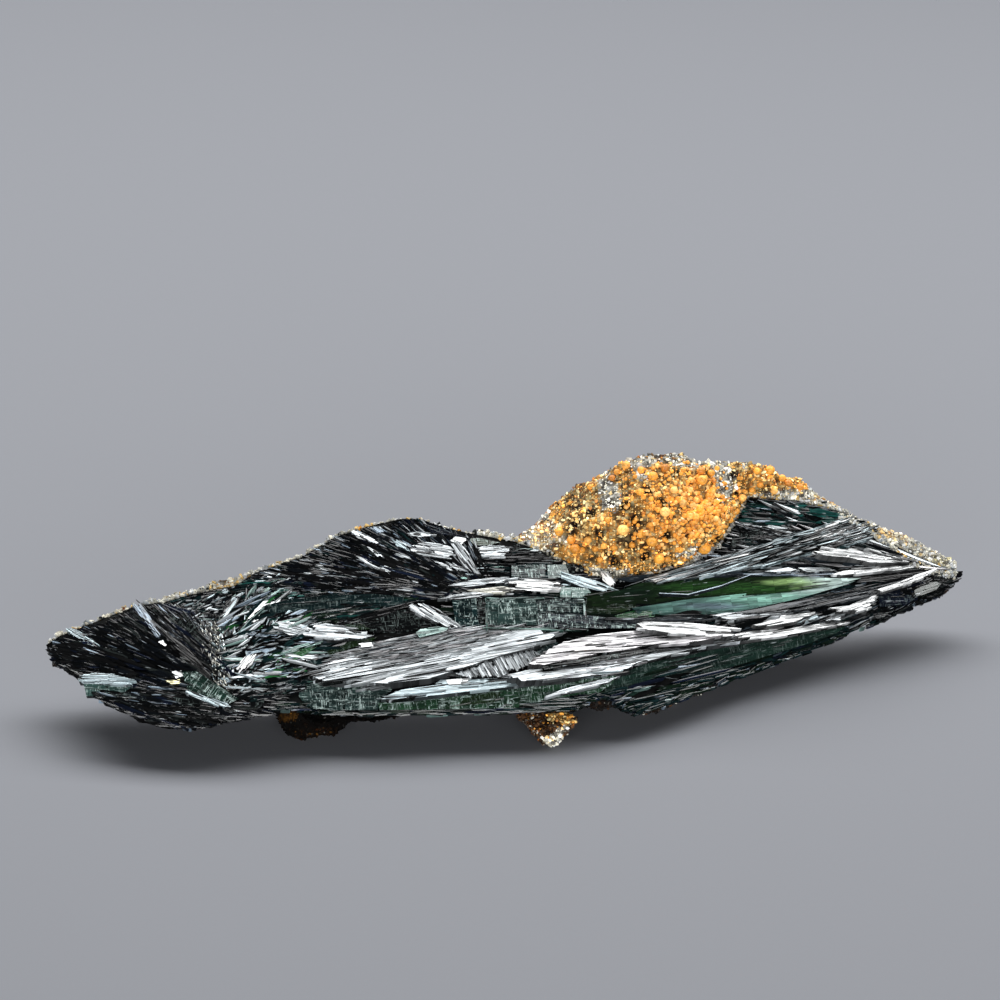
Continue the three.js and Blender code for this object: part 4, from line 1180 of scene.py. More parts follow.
RIGHT_THICKETS: tuple[Thicket, ...] = (
    # above the long green lens: broad blades, then thin ones
    Thicket(UPPER_FAN, 260, (50, 150), (2.4, 7), SILVER_MIX, focus=(948, 573), fray=1.6, roll=(12, 28),
            lift=(-0.1, 0.3), edge=0.08),
    Thicket(UPPER_FAN, 500, (16, 60), (0.9, 2.2), RIGHT_MIX, focus=(948, 573), fray=2.2, lift=(0.1, 0.45)),
    Thicket(((746, 505), (768, 502), (835, 511), (850, 520), (800, 526), (744, 524)), 90, (30, 90), (2, 5),
            BAND_MIX, grain=-3, fray=2.5, roll=(4, 20), lift=(0.3, 0.7)),
    Thicket(((650, 580), (700, 567), (745, 553), (800, 537), (850, 521), (884, 529), (860, 542), (800, 556),
            (745, 568), (700, 578)), 620, (18, 80), (0.7, 2.2), WOOL_MIX, grain=17, fray=3,
            bright_roll=(-11, -1), lift=(0.5, 1.0), edge=0.04),
    # below it
    Thicket(LOWER_FAN, 180, (40, 120), (2.4, 7), SILVER_MIX, focus=(952, 572), fray=2, roll=(12, 28),
            lift=(-0.1, 0.3), overhang=2, edge=0.08),
    Thicket(LOWER_FAN, 420, (14, 50), (0.9, 2.2), RIGHT_MIX, focus=(952, 572), fray=2.5, lift=(0.1, 0.45),
            overhang=3),
    Thicket(((612, 690), (700, 655), (845, 628), (835, 640), (760, 664), (700, 690), (640, 708)), 50,
            (20, 80), (1.6, 4), FOOT_MIX, grain=13, fray=2, lift=(0.0, 0.2)),
    # the ragged foot and the steps under the right tip
    Thicket(((590, 696), (612, 690), (640, 704), (700, 682), (760, 660), (830, 634), (870, 616), (930, 588),
            (934, 594), (880, 622), (838, 642), (765, 670), (704, 694), (634, 716), (606, 702)), 700,
            (6, 26), (1, 2.8), FOOT_MIX, grain=17, fray=9, lift=(-0.2, 0.4), overhang=6),
    Thicket(((878, 590), (948, 574), (962, 574), (946, 594), (915, 606), (880, 620)), 260, (8, 26),
            (1.5, 4), BLADE_MIX, grain=14, fray=10, lift=(-0.2, 0.5), overhang=9),
)


@dataclass
class CrystalPlate:
    """The plate of crystals: a dark core, broad cleaved blades on it, and thin laths between them."""

    finish: bpy.types.Material
    fibrous: bpy.types.Material
    groundmass: bpy.types.Material
    thickness: tuple[float, ...] = (0.8, 2.8, 4.4, 4.2, 2.6)
    columns: Span = (46, 963)
    column_step: float = 3
    face_steps: int = 34
    back_steps: int = 14
    blade_depth: float = 1.3
    lift_share: float = 0.55
    most_rise: float = 0.6
    sunk: float = 0.4
    painted_wall_shade: float = 0.1
    black_splinters: float = 0.26
    lath_depth: float = 0.6
    tries_each: int = 6
    strip_lean: float = 1.2
    cross_lean: float = 8
    seed: int = 11
    swarms: dict[str, Swarm] = field(default_factory=dict)

    def core(self) -> bpy.types.Object:
        """Makes the plate that the blades grew from, as a grid wrapped round its sections.

        Returns:
            The piece.
        """
        round_steps = self.face_steps + self.back_steps
        long_steps = int((self.columns[1] - self.columns[0]) / self.column_step)
        mesh = bmesh.new()
        bmesh.ops.create_grid(mesh, x_segments=long_steps, y_segments=round_steps, size=0.5)
        for vert in mesh.verts:
            column = lerp(*self.columns, vert.co.x + 0.5)
            vert.co = self.section(column, (vert.co.y + 0.5) * round_steps)
        bmesh.ops.remove_doubles(mesh, verts=mesh.verts, dist=1e-4)
        bmesh.ops.holes_fill(mesh, edges=[edge for edge in mesh.edges if edge.is_boundary], sides=0)
        bmesh.ops.recalc_face_normals(mesh, faces=mesh.faces)
        if mesh.calc_volume(signed=True) < 0:
            bmesh.ops.reverse_faces(mesh, faces=mesh.faces)
        grain, tint, habit = layers(mesh)
        for face in mesh.faces:
            for loop in face.loops:
                loop[grain].uv = (loop.vert.co.x, loop.vert.co.y + loop.vert.co.z)
                loop[tint] = (*LINEAR[Tint.JET], 1)
                loop[habit] = (0, 0.6, 0, 1)
        bmesh.ops.scale(mesh, vec=(MM, MM, MM), verts=mesh.verts)
        data = finished(mesh, "crystal_core")
        data.uv_layers[0].name = "grain"
        return to_object("crystal_core", data, self.groundmass, "vivianite")

    def section(self, column: float, step: float) -> Vector:
        """Gives a point of the plate's outline at a column.

        Args:
            column: Where the section is.
            step: How far round, first down the face and then up behind it.

        Returns:
            The point, in millimetres.
        """
        top_row, foot_row = table_at(CRYSTAL_TOP, column)[0], table_at(CRYSTAL_FOOT, column)[0]
        behind = step > self.face_steps
        share = step / self.face_steps if not behind else 1 - (step - self.face_steps) / self.back_steps
        point = SHEET.on_face(column, lerp(top_row, foot_row, share))
        middle_row = lerp(top_row, foot_row, 0.5)
        axes = SHEET.axes((column - self.column_step, middle_row), (column + self.column_step, middle_row))
        if behind:
            depths = tuple(zip((0, 0.25, 0.55, 0.85, 1), self.thickness))
            deep = table_at(depths, share)[0] * SHEET.fullness(column) * clamp((1 - share) * 9 + share * 9)
            edge = clamp(min(step - self.face_steps, self.face_steps + self.back_steps - step))
            point = point - axes.out * deep * edge
            rough = noise.noise(point * 0.5) * 0.5
            return point + axes.out * rough * edge
        ledge = noise.noise(Vector((point.x * 0.12, point.z * 1.3, 4))) * 0.22
        edge = clamp(min(share, 1 - share) * 6)
        return point + axes.out * (ledge - self.sunk) * edge

    def facet(self, facet: Facet, rng: Random) -> bpy.types.Mesh:
        """Makes one broad blade.

        Args:
            facet: Its outline and looks.
            rng: What its strips are drawn from.

        Returns:
            Its mesh, in metres.
        """
        axes = self.bed(facet)
        place = axes.matrix()
        flat = place.inverted()
        corners = [tuple((flat @ SHEET.on_plane(*spot, axes.place, axes.out)).xy) for spot in facet.outline]
        mesh = bmesh.new()
        mesh.faces.new([mesh.verts.new((*corner, 0)) for corner in corners])
        self.splinter(facet, place, corners, rng)
        self.split(mesh, facet.habit.value, rng)
        self.skew(mesh, facet, place, rng)
        self.thicken(mesh, facet, max(y for _, y in corners) - min(y for _, y in corners))
        bmesh.ops.transform(mesh, matrix=Matrix.Scale(MM, 4) @ place, verts=mesh.verts)
        for vert in mesh.verts:
            vert.co = held(vert.co, *SOLID_BOX, SKIN * MM)
        return finished(mesh, "blade")

    def bed(self, facet: Facet) -> Axes:
        """Finds how a broad blade lies on the face, from its outline and the way of its grain.

        Args:
            facet: The blade.

        Returns:
            Its axes.
        """
        angle = math.radians(facet.grain)
        way = Vector((math.cos(angle), -math.sin(angle)))
        aside = Vector((way.y, -way.x))
        reaches = [Vector(spot).dot(way) for spot in facet.outline]
        sides = [Vector(spot).dot(aside) for spot in facet.outline]
        middle = way * (min(reaches) + max(reaches)) / 2 + aside * (min(sides) + max(sides)) / 2
        half = way * max(3.0, (max(reaches) - min(reaches)) / 2)
        settle = math.degrees(math.atan2(self.most_rise, (max(sides) - min(sides)) * SHEET.step / 2))
        return self.lie(tuple(middle - half), tuple(middle + half), facet.roll,
                        facet.lift * self.lift_share, settle, max(LINEAR[facet.tint]) > DARK_TINT)

    def split(self, mesh: bmesh.types.BMesh, cut: Cut, rng: Random) -> None:
        """Splits a flat blade along its grain into strips, and across it where its habit has cross cuts.

        Args:
            mesh: The blade, flat, with its grain along x.
            cut: How it breaks up.
            rng: What the cuts are drawn from.
        """
        start, end = (pick(vert.co.x for vert in mesh.verts) for pick in (min, max))
        low, high = (pick(vert.co.y for vert in mesh.verts) for pick in (min, max))
        at = low + cut.strip * rng.uniform(0.3, 1)
        while at < high - 0.3 * cut.strip:
            lean = math.radians(rng.gauss(0, self.strip_lean))
            bmesh.ops.bisect_plane(mesh, geom=mesh.verts[:] + mesh.edges[:] + mesh.faces[:],
                                   plane_co=((start + end) / 2, at, 0),
                                   plane_no=(-math.sin(lean), math.cos(lean), 0))
            at += cut.strip * rng.uniform(0.5, 1.6)
        at = start + cut.cross * rng.uniform(0.4, 1)
        while cut.cross and at < end - 0.3 * cut.cross:
            lean = math.radians(rng.gauss(0, self.cross_lean))
            bmesh.ops.bisect_plane(mesh, geom=mesh.verts[:] + mesh.edges[:] + mesh.faces[:],
                                   plane_co=(at, (low + high) / 2, 0),
                                   plane_no=(math.cos(lean), math.sin(lean), 0))
            at += cut.cross * rng.uniform(0.5, 1.8)
        bmesh.ops.split_edges(mesh, edges=mesh.edges[:])

    @staticmethod
    def skew(mesh: bmesh.types.BMesh, facet: Facet, place: Matrix, rng: Random) -> None:
        """Lays every strip a little askew and paints it.

        Args:
            mesh: The strips, flat.
            facet: The blade that they belong to.
            place: Its turn and place.
            rng: What the slants and shades are drawn from.
        """
        cut = facet.habit.value
        grain, tint, habit = layers(mesh)
        for face in mesh.faces:
            centre = face.calc_center_median()
            turn = math.tan(math.radians(rng.gauss(0, cut.turn)))
            pitch = math.tan(math.radians(rng.gauss(0, cut.turn * 0.2)))
            sink = rng.uniform(-0.2, 0.0) * min(0.5, cut.strip)
            shade = 1 + rng.uniform(-cut.mottle, cut.mottle * 0.6)
            offset = (rng.uniform(0, 90), rng.uniform(0, 90))
            ends = (min(v.co.x for v in face.verts), max(v.co.x for v in face.verts))
            grown = [rng.uniform(-1, 0.7) * min(cut.stagger, (ends[1] - ends[0]) * 0.2) for _ in ends]
            for vert in face.verts:
                share = (vert.co.x - ends[0]) / max(1e-4, ends[1] - ends[0])
                if min(share, 1 - share) < 0.35:
                    vert.co.x += grown[round(share)]
                vert.co.z = sink + turn * (vert.co.y - centre.y) + pitch * (vert.co.x - centre.x)
            for loop in face.loops:
                loop[grain].uv = (loop.vert.co.x + offset[0], loop.vert.co.y + offset[1])
                loop[tint] = (*(facet.tint_at(SHEET.spot_of(place @ loop.vert.co)) * shade), 1)
                loop[habit] = (cut.lustre, cut.streak, cut.cracks, 1)

    def thicken(self, mesh: bmesh.types.BMesh, facet: Facet, wide: float) -> None:
        """Gives the strips walls in painted shade, darker than their tops.

        Args:
            mesh: The strips.
            facet: The blade that they belong to.
            wide: Its width in millimetres.
        """
        _, tint, habit = layers(mesh)
        grown = bmesh.ops.extrude_face_region(mesh, geom=mesh.faces[:])["geom"]
        moved = [item for item in grown if isinstance(item, bmesh.types.BMVert)]
        bmesh.ops.translate(mesh, verts=moved, vec=(0, 0, -clamp(0.4 * wide, 0.3, self.blade_depth)))
        bmesh.ops.recalc_face_normals(mesh, faces=mesh.faces)
        # the walls get painted shade: the blade's tint, much darkened
        for face in mesh.faces:
            if abs(face.normal.z) < 0.5:
                for loop in face.loops:
                    loop[tint] = (*(LINEAR[facet.tint] * self.painted_wall_shade), 1)
                    loop[habit] = (0.1, 0.8, 0, 1)

    def splinter(self, facet: Facet, place: Matrix, outline: list[Spot], rng: Random) -> None:
        """Covers a blade with splinters along its grain, which also fray its ends.

        Args:
            facet: The blade.
            place: Its turn and place.
            outline: Its corners in its own plane.
            rng: What the splinters are drawn from.
        """
        cut = facet.habit.value
        xs, ys = [x for x, _ in outline], [y for _, y in outline]
        box = (max(xs) - min(xs)) * (max(ys) - min(ys)) / SHEET.step ** 2
        long = clamp((max(xs) - min(xs)) * 0.45, 0.8, 6.0)
        for _ in range(int(box * cut.splinters)):
            spot = (rng.uniform(min(xs), max(xs)), rng.uniform(min(ys), max(ys)))
            if not inside(spot, tuple(outline)):
                continue
            length, width = long * rng.uniform(0.3, 1), rng.uniform(0.08, 0.22)
            black = rng.random() < self.black_splinters
            tint = LINEAR[Tint.JET if black else facet.tint]
            bright = not black and cut.lustre > SHINING
            turn = Matrix.Rotation(math.radians(rng.gauss(0, 2.2)), 4, "Z")
            turn = turn @ Matrix.Rotation(math.radians(rng.gauss(0, 0.8)), 4, "Y")
            turn = turn @ Matrix.Rotation(math.radians(rng.gauss(0, cut.turn + 2)), 4, "X")
            size = Matrix.Translation((-length / 2, 0, 0)) @ Matrix.Diagonal((length, width, 0.5, 1))
            lie = Matrix.Translation((*spot, rng.uniform(-0.04, 0.1)))
            paint = Paint(tint * rng.uniform(0.5, 1.3), max(cut.lustre, 0.6) if bright else 0.1, 0.8, 0)
            grain = (length, width, rng.uniform(0, 90), rng.uniform(0, 90))
            self.swarms["bright" if bright else "dark"].add(place @ lie @ turn @ size, paint, grain)

    def blades(self) -> None:
        """Makes the broad blades and the splinters on them."""
        rng = Random(self.seed)
        self.swarms = {"bright": Swarm(needle()), "dark": Swarm(needle())}
        whole = bmesh.new()
        for facet in FACETS:
            data = self.facet(facet, rng)
            whole.from_mesh(data)
            bpy.data.meshes.remove(data)
        data = finished(whole, "cleaved_blades")
        data.uv_layers[0].name = "grain"
        to_object("cleaved_blades", data, self.finish, "vivianite")
        self.lay("splinters")

    def lay(self, name: str) -> None:
        """Turns the bright and the dark slender crystals gathered so far into two pieces.

        Args:
            name: What they are called.
        """
        for kind, finish in (("bright", self.finish), ("dark", self.fibrous)):
            swarm = self.swarms[kind]
            if swarm.places:
                to_object(f"{kind}_{name}", swarm.mesh(f"{kind}_{name}"), finish, "vivianite")

    def laths(self, name: str, thickets: tuple[Thicket, ...], seed: int) -> None:
        """Covers stretches of the face with thin laths.

        Args:
            name: The pieces' name.
            thickets: The stretches.
            seed: What the laths are drawn from.
        """
        rng = Random(seed)
        self.swarms = {"bright": Swarm(needle(chisel=0.3)), "dark": Swarm(needle())}
        for thicket in thickets:
            self.grow(thicket, rng)
        self.lay(name)

    def grow(self, thicket: Thicket, rng: Random) -> None:
        """Adds the laths of one stretch.

        Args:
            thicket: The stretch.
            rng: What they are drawn from.
        """
        columns, rows = zip(*thicket.outline)
        tints, shares, lustres = zip(*thicket.tints)
        lustres = dict(zip(tints, lustres))
        placed, tries = 0, 0
        while placed < thicket.count and tries < thicket.count * self.tries_each:
            tries += 1
            spot = (rng.uniform(min(columns), max(columns)), rng.uniform(min(rows), max(rows)))
            if not inside(spot, thicket.outline):
                continue
            angle = math.radians(thicket.grain)
            if thicket.focus:
                angle = math.atan2(spot[1] - thicket.focus[1], thicket.focus[0] - spot[0])
                if math.cos(angle) < 0:
                    angle += math.pi
            angle += math.radians(rng.gauss(0, thicket.fray))
            tint = rng.choices(tints, shares)[0]
            bright = lustres[tint] > SHINING
            long = rng.uniform(*thicket.length) * (0.6 if bright and not thicket.edge else 1)
            wide = rng.uniform(*thicket.width) * (0.7 if bright else 1)
            reaches = [self.reach(spot, angle, side * long / 2, thicket.overhang) for side in (-1, 1)]
            long = reaches[1] - reaches[0]
            if long < thicket.length[0] * 0.5:
                continue
            start, end = ((spot[0] + math.cos(angle) * far, spot[1] - math.sin(angle) * far)
                          for far in reaches)
            axes = self.lie(start, end, rng.uniform(*(thicket.bright_roll if bright else thicket.roll)),
                            rng.uniform(*thicket.lift), 60, bright)
            pitch = Matrix.Rotation(math.radians(rng.gauss(0, 1.5)), 4, "Y")
            length, width = long * SHEET.step * 1.03, wide * SHEET.step
            middle = Matrix.Translation((-length / 2, 0, 0))
            size = middle @ Matrix.Diagonal((length, width, self.lath_depth, 1))
            shade = rng.uniform(0.4, 1.3) if bright else rng.uniform(0.6, 1.4)
            paint = Paint(LINEAR[tint] * shade, lustres[tint], 0.75, 0)
            grain = (length, width, rng.uniform(0, 90), rng.uniform(0, 90))
            self.swarms["bright" if bright else "dark"].add(axes.matrix() @ pitch @ size, paint, grain)
            # painted shadow: a black lath a little wider lies under each bright one, as the shade along its
            # edges
            if bright and thicket.edge:
                bed = Matrix.Translation((-length / 2 - thicket.edge, 0, -0.07))
                size = bed @ Matrix.Diagonal((length + 2 * thicket.edge, width + 2 * thicket.edge,
                                              self.lath_depth, 1))
                self.swarms["dark"].add(axes.matrix() @ pitch @ size, Paint(LINEAR[Tint.JET], 0.1, 0.6, 0),
                                        (length, width, 0, 0))
            placed += 1

    @staticmethod
    def lie(start: Spot, end: Spot, roll: float, lift: float, settle: float, bright: bool) -> Axes:
        """Finds how a crystal lies: a dark one is turned on until it mirrors no soft light.

        Args:
            start: Where its middle line starts on the drawing.
            end: Where that line ends.
            roll: Its turn about the line in degrees.
            lift: How far it stands off the face in millimetres.
            settle: How far it may turn to catch the light in degrees.
            bright: Whether it is meant to shine.

        Returns:
            Its axes.
        """
        for more in RETRIED_ROLLS:
            axes = SHEET.axes(start, end, roll + more, lift, settle)
            if bright or not SHEET.glares(axes.place, axes.out):
                break
        return axes

    def reach(self, spot: Spot, angle: float, far: float, overhang: float) -> float:
        """How far a crystal reaches from a spot before it leaves the plate, in columns, up to `far`."""
        for share in (1, 0.8, 0.6, 0.4, 0.2):
            end = (spot[0] + math.cos(angle) * far * share, spot[1] - math.sin(angle) * far * share)
            if self.on_plate(end, overhang):
                return far * share
        return 0.0

    def on_plate(self, spot: Spot, overhang: float) -> bool:
        """Says whether a spot lies on the crystal face, or this far past its foot."""
        top, foot = table_at(CRYSTAL_TOP, spot[0])[0], table_at(CRYSTAL_FOOT, spot[0])[0]
        within = self.columns[0] - 1 < spot[0] < self.columns[1] + 1
        return within and top - 0.5 < spot[1] < foot - 0.5 + overhang


# ---- Matrix ----

@dataclass(frozen=True)
class Bloom:
    """A round patch of the matrix with its own colours: middle and radii on the drawing."""

    middle: Spot
    radii: Spot
    tints: Mix

    def reach(self, spot: Spot) -> float:
        """How far a spot lies from the middle, 1 being the patch's edge."""
        return math.hypot((spot[0] - self.middle[0]) / self.radii[0],
                          (spot[1] - self.middle[1]) / self.radii[1])


PALE = ((Tint.CREAM, 4), (Tint.CHALK, 4), (Tint.WHITE, 2), (Tint.FJORD, 1), (Tint.ASH, 1.4),
        (Tint.HONEY, 1))
GOLDEN = ((Tint.OCHRE, 2.4), (Tint.HONEY, 5), (Tint.AMBER, 3), (Tint.RUST, 0.8), (Tint.BARK, 1.4),
          (Tint.STRAW, 1.8))
BROWN = ((Tint.OCHRE, 2), (Tint.HONEY, 3), (Tint.BARK, 2.4), (Tint.STRAW, 2), (Tint.RUST, 1))
RIM = ((Tint.CREAM, 5), (Tint.CHALK, 4), (Tint.HONEY, 1), (Tint.ASH, 0.6), (Tint.WHITE, 2.5),
       (Tint.SILVER, 2))
RUSTY_RIM = ((Tint.HONEY, 3), (Tint.CREAM, 4), (Tint.RUST, 0.6), (Tint.OCHRE, 1), (Tint.CHALK, 2))
BACK = ((Tint.OCHRE, 2.4), (Tint.RUST, 2), (Tint.BARK, 2), (Tint.HONEY, 1.2), (Tint.CHALK, 1),
        (Tint.ASH, 1))
DUSKY = ((Tint.BARK, 4), (Tint.SOOT, 4), (Tint.OCHRE, 1), (Tint.CHALK, 0.8), (Tint.RUST, 1), (Tint.ASH, 1))
# near black: the matrix's own dark colour deepened by painted shade, for what lies low under the crystals
# and for the left foot
DARK_AND_SHADED = ((Tint.SOOT, 5), (Tint.UMBER, 3), (Tint.ASH, 2), (Tint.BARK, 1.4), (Tint.CHALK, 0.3))
YELLOW = ((Tint.STRAW, 4), (Tint.CREAM, 3), (Tint.WHITE, 2))
BLOOMS: tuple[Bloom, ...] = (
    Bloom((700, 454), (62, 14), PALE), Bloom((608, 492), (11, 20), PALE), Bloom((724, 480), (12, 22), PALE),
    Bloom((790, 496), (30, 6), PALE), Bloom((640, 468), (8, 12), PALE), Bloom((696, 553), (16, 6), PALE),
    Bloom((600, 572), (24, 6), PALE), Bloom((578, 502), (26, 24), BROWN),
    Bloom((538, 538), (30, 16), RUSTY_RIM),
    Bloom((230, 578), (13, 7), ((Tint.AMBER, 2), (Tint.HONEY, 3), (Tint.CREAM, 3))),
    Bloom((900, 531), (28, 7), RUSTY_RIM), Bloom((832, 502), (26, 5), RUSTY_RIM),
    Bloom((937, 563), (12, 6), YELLOW),
)
LEFT_FOOT_BLOOMS: tuple[Bloom, ...] = (
    Bloom((288, 716), (13, 7), ((Tint.AMBER, 4), (Tint.OCHRE, 3), (Tint.BARK, 2))),
    Bloom((318, 734), (22, 8), DUSKY),
)
MIDDLE_FOOT_BLOOMS: tuple[Bloom, ...] = (
    Bloom((562, 717), (17, 8), GOLDEN), Bloom((558, 742), (14, 14), PALE),
)
HOLLOWS: tuple[Spot, ...] = (
    (625, 505), (742, 493), (666, 535), (600, 535), (690, 530), (645, 555), (662, 503), (574, 522),
    (634, 520), (612, 560), (716, 540), (590, 512), (648, 490), (675, 472), (735, 475),
)


@dataclass
class CrumblyLump:
    """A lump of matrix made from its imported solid: remeshed, roughened, and overgrown with grains."""

    node: str
    name: str
    slot: str
    finish: bpy.types.Material
    base: Mix
    blooms: tuple[Bloom, ...]
    voxel: float = 0.32
    relief: float = 0.42
    knob: float = 1.0
    # how far painted shade darkens the body
    painted_crevice_shade: float = 0.6
    pit: float = 4.5
    taper: float = 0
    seed: int = 5
    hollows: tuple[Spot, ...] = ()
    shape: bpy.types.Mesh | None = None

    def body(self) -> bpy.types.Object:
        """Makes the lump itself.

        Returns:
            The piece.
        """
        low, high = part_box(self.node)
        mesh = bmesh.new()
        mesh.from_mesh(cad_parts[self.node].data)
        bmesh.ops.remove_doubles(mesh, verts=mesh.verts, dist=1e-7)
        draft = bpy.data.objects.new(self.name + "_draft", finished(mesh, self.name))
        bpy.context.scene.collection.objects.link(draft)
        remesh = draft.modifiers.new("remesh", "REMESH")
        remesh.mode, remesh.voxel_size = "VOXEL", self.voxel * MM
        data = bpy.data.meshes.new_from_object(draft.evaluated_get(bpy.context.evaluated_depsgraph_get()))
        bpy.data.objects.remove(draft)
        mesh = bmesh.new()
        mesh.from_mesh(data)
        mesh.normal_update()
        _, tint, habit = layers(mesh)
        rng = Random(self.seed)
        heights: dict[int, float] = {}
        lowest = min(mesh.verts, key=lambda vert: vert.co.z).co.copy()
        for vert in mesh.verts:
            narrow = 1 - self.taper * clamp((high.z - vert.co.z) / (high.z - low.z))
            vert.co.xy = lowest.xy + (vert.co.xy - lowest.xy) * narrow
            point = vert.co / MM
            heights[vert.index] = self.height(point)
            moved = point + vert.normal * (heights[vert.index] - 1) * self.relief
            vert.co = Vector([clamp(v, a / MM + SKIN, b / MM - SKIN)
                              for v, a, b in zip(moved, low, high)]) * MM
        # painted shade and light: every face is darkened, dark brown where the relief is low and lighter
        # where it stands proud
        for face in mesh.faces:
            colour = self.colour(face.calc_center_median() / MM, rng) * self.painted_crevice_shade
            face.smooth = False
            for loop in face.loops:
                proud = clamp(heights[loop.vert.index] * 1.15 - 0.1)
                loop[tint] = (*(LINEAR[Tint.BARK] * self.painted_crevice_shade * 0.5).lerp(colour * 1.8, proud), 1)
                loop[habit] = (0, 0, 0, 1)
        self.shape = finished(mesh, self.name)
        return to_object(self.name, self.shape, self.finish, self.slot)

    def height(self, point: Vector) -> float:
        """Says how proud the crumbly surface stands at a point.

        Args:
            point: Its place in millimetres.

        Returns:
            About 0 to 1.
        """
        near = noise.voronoi(point / self.knob)[0][0]
        fine = noise.voronoi(point / (self.knob * 0.45))[0][0]
        swell = noise.noise(point / 2.4) * 0.45 + noise.noise(point / 1.1) * 0.25
        spot = SHEET.spot_of(point)
        hollow = max((clamp(1.4 - math.dist(spot, place) / self.pit) for place in self.hollows), default=0)
        return (1 - near) * 0.6 + (1 - fine) * 0.35 + swell - hollow * 2.2 * (point.y < 12)

    def colour(self, point: Vector, rng: Random) -> Vector:
        """Picks the colour of a grain from where it lies.

        Args:
            point: Its place in millimetres.
            rng: What it is drawn from.

        Returns:
            A linear colour.
        """
        mix = self.mix(point, rng)
        tint = drawn(mix, rng)
        blotch = 1 + 0.4 * noise.noise(point * 0.9)
        mean = sum((LINEAR[t] * s for t, s in mix), Vector((0, 0, 0))) / sum(s for _, s in mix)
        return mean.lerp(LINEAR[tint], 0.75) * blotch * rng.uniform(0.8, 1.15)

    def mix(self, point: Vector, rng: Random) -> Mix:
        """Chooses the mix of colours for a point: the patch that it lies in, or the base.

        Args:
            point: Its place in millimetres.
            rng: What the patch's ragged edge is drawn from.

        Returns:
            The mix.
        """
        column, row = SHEET.spot_of(point)
        spot = (column + rng.gauss(0, 1.5), row + rng.gauss(0, 1.5))
        wander = 0.6 * noise.noise(point * 0.7)
        reach, best = min(((bloom.reach(spot) + wander, bloom) for bloom in self.blooms),
                          key=lambda pair: pair[0])
        return best.tints if reach < 1 else self.base

    def grains(self, name: str, count: int, radius: Span, columns: Span = (0, 1000),
               front: bool | None = None, seed: int = 1, shade: float = 1.0,
               kind: Crumb = Crumb.ROUND) -> bpy.types.Object:
        """Scatters sharp little grains on the lump.

        Args:
            name: The piece's name.
            count: How many.
            radius: The smallest and largest radius in millimetres.
            columns: Between which columns of the drawing.
            front: Whether only those that face the eye, only the others, or all.
            seed: What they are drawn from.
            shade: Their brightness.
            kind: Their shape.

        Returns:
            The piece.
        """
        rng = Random(seed)
        swarm = Swarm(crumb(kind, seed))
        low, high = (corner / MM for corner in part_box(self.node))
        spots = [polygon for polygon in self.shape.polygons
                 if columns[0] < SHEET.spot_of(polygon.center / MM)[0] < columns[1]
                 and (front is None or front == (polygon.normal.dot(SHEET.forward) < 0.1))]
        for polygon in rng.choices(spots, k=count):
            point = polygon.center / MM
            size = lerp(*radius, rng.random() ** 2.2)
            point = held(point, low, high, size)
            axis = Vector((rng.gauss(0, 1), rng.gauss(0, 1), rng.gauss(0, 1)))
            turn = Matrix.Rotation(rng.uniform(0, 6.28), 4, axis)
            squash = Matrix.Diagonal((size * 1.15, size * rng.uniform(0.6, 1),
                                      size * rng.uniform(0.5, 0.9), 1))
            paint = Paint(self.colour(point, rng) * shade * rng.uniform(0.45, 1.25))
            swarm.add(Matrix.Translation(point + polygon.normal * size * 0.1) @ turn @ squash, paint)
        return to_object(name, swarm.mesh(name), self.finish, self.slot)


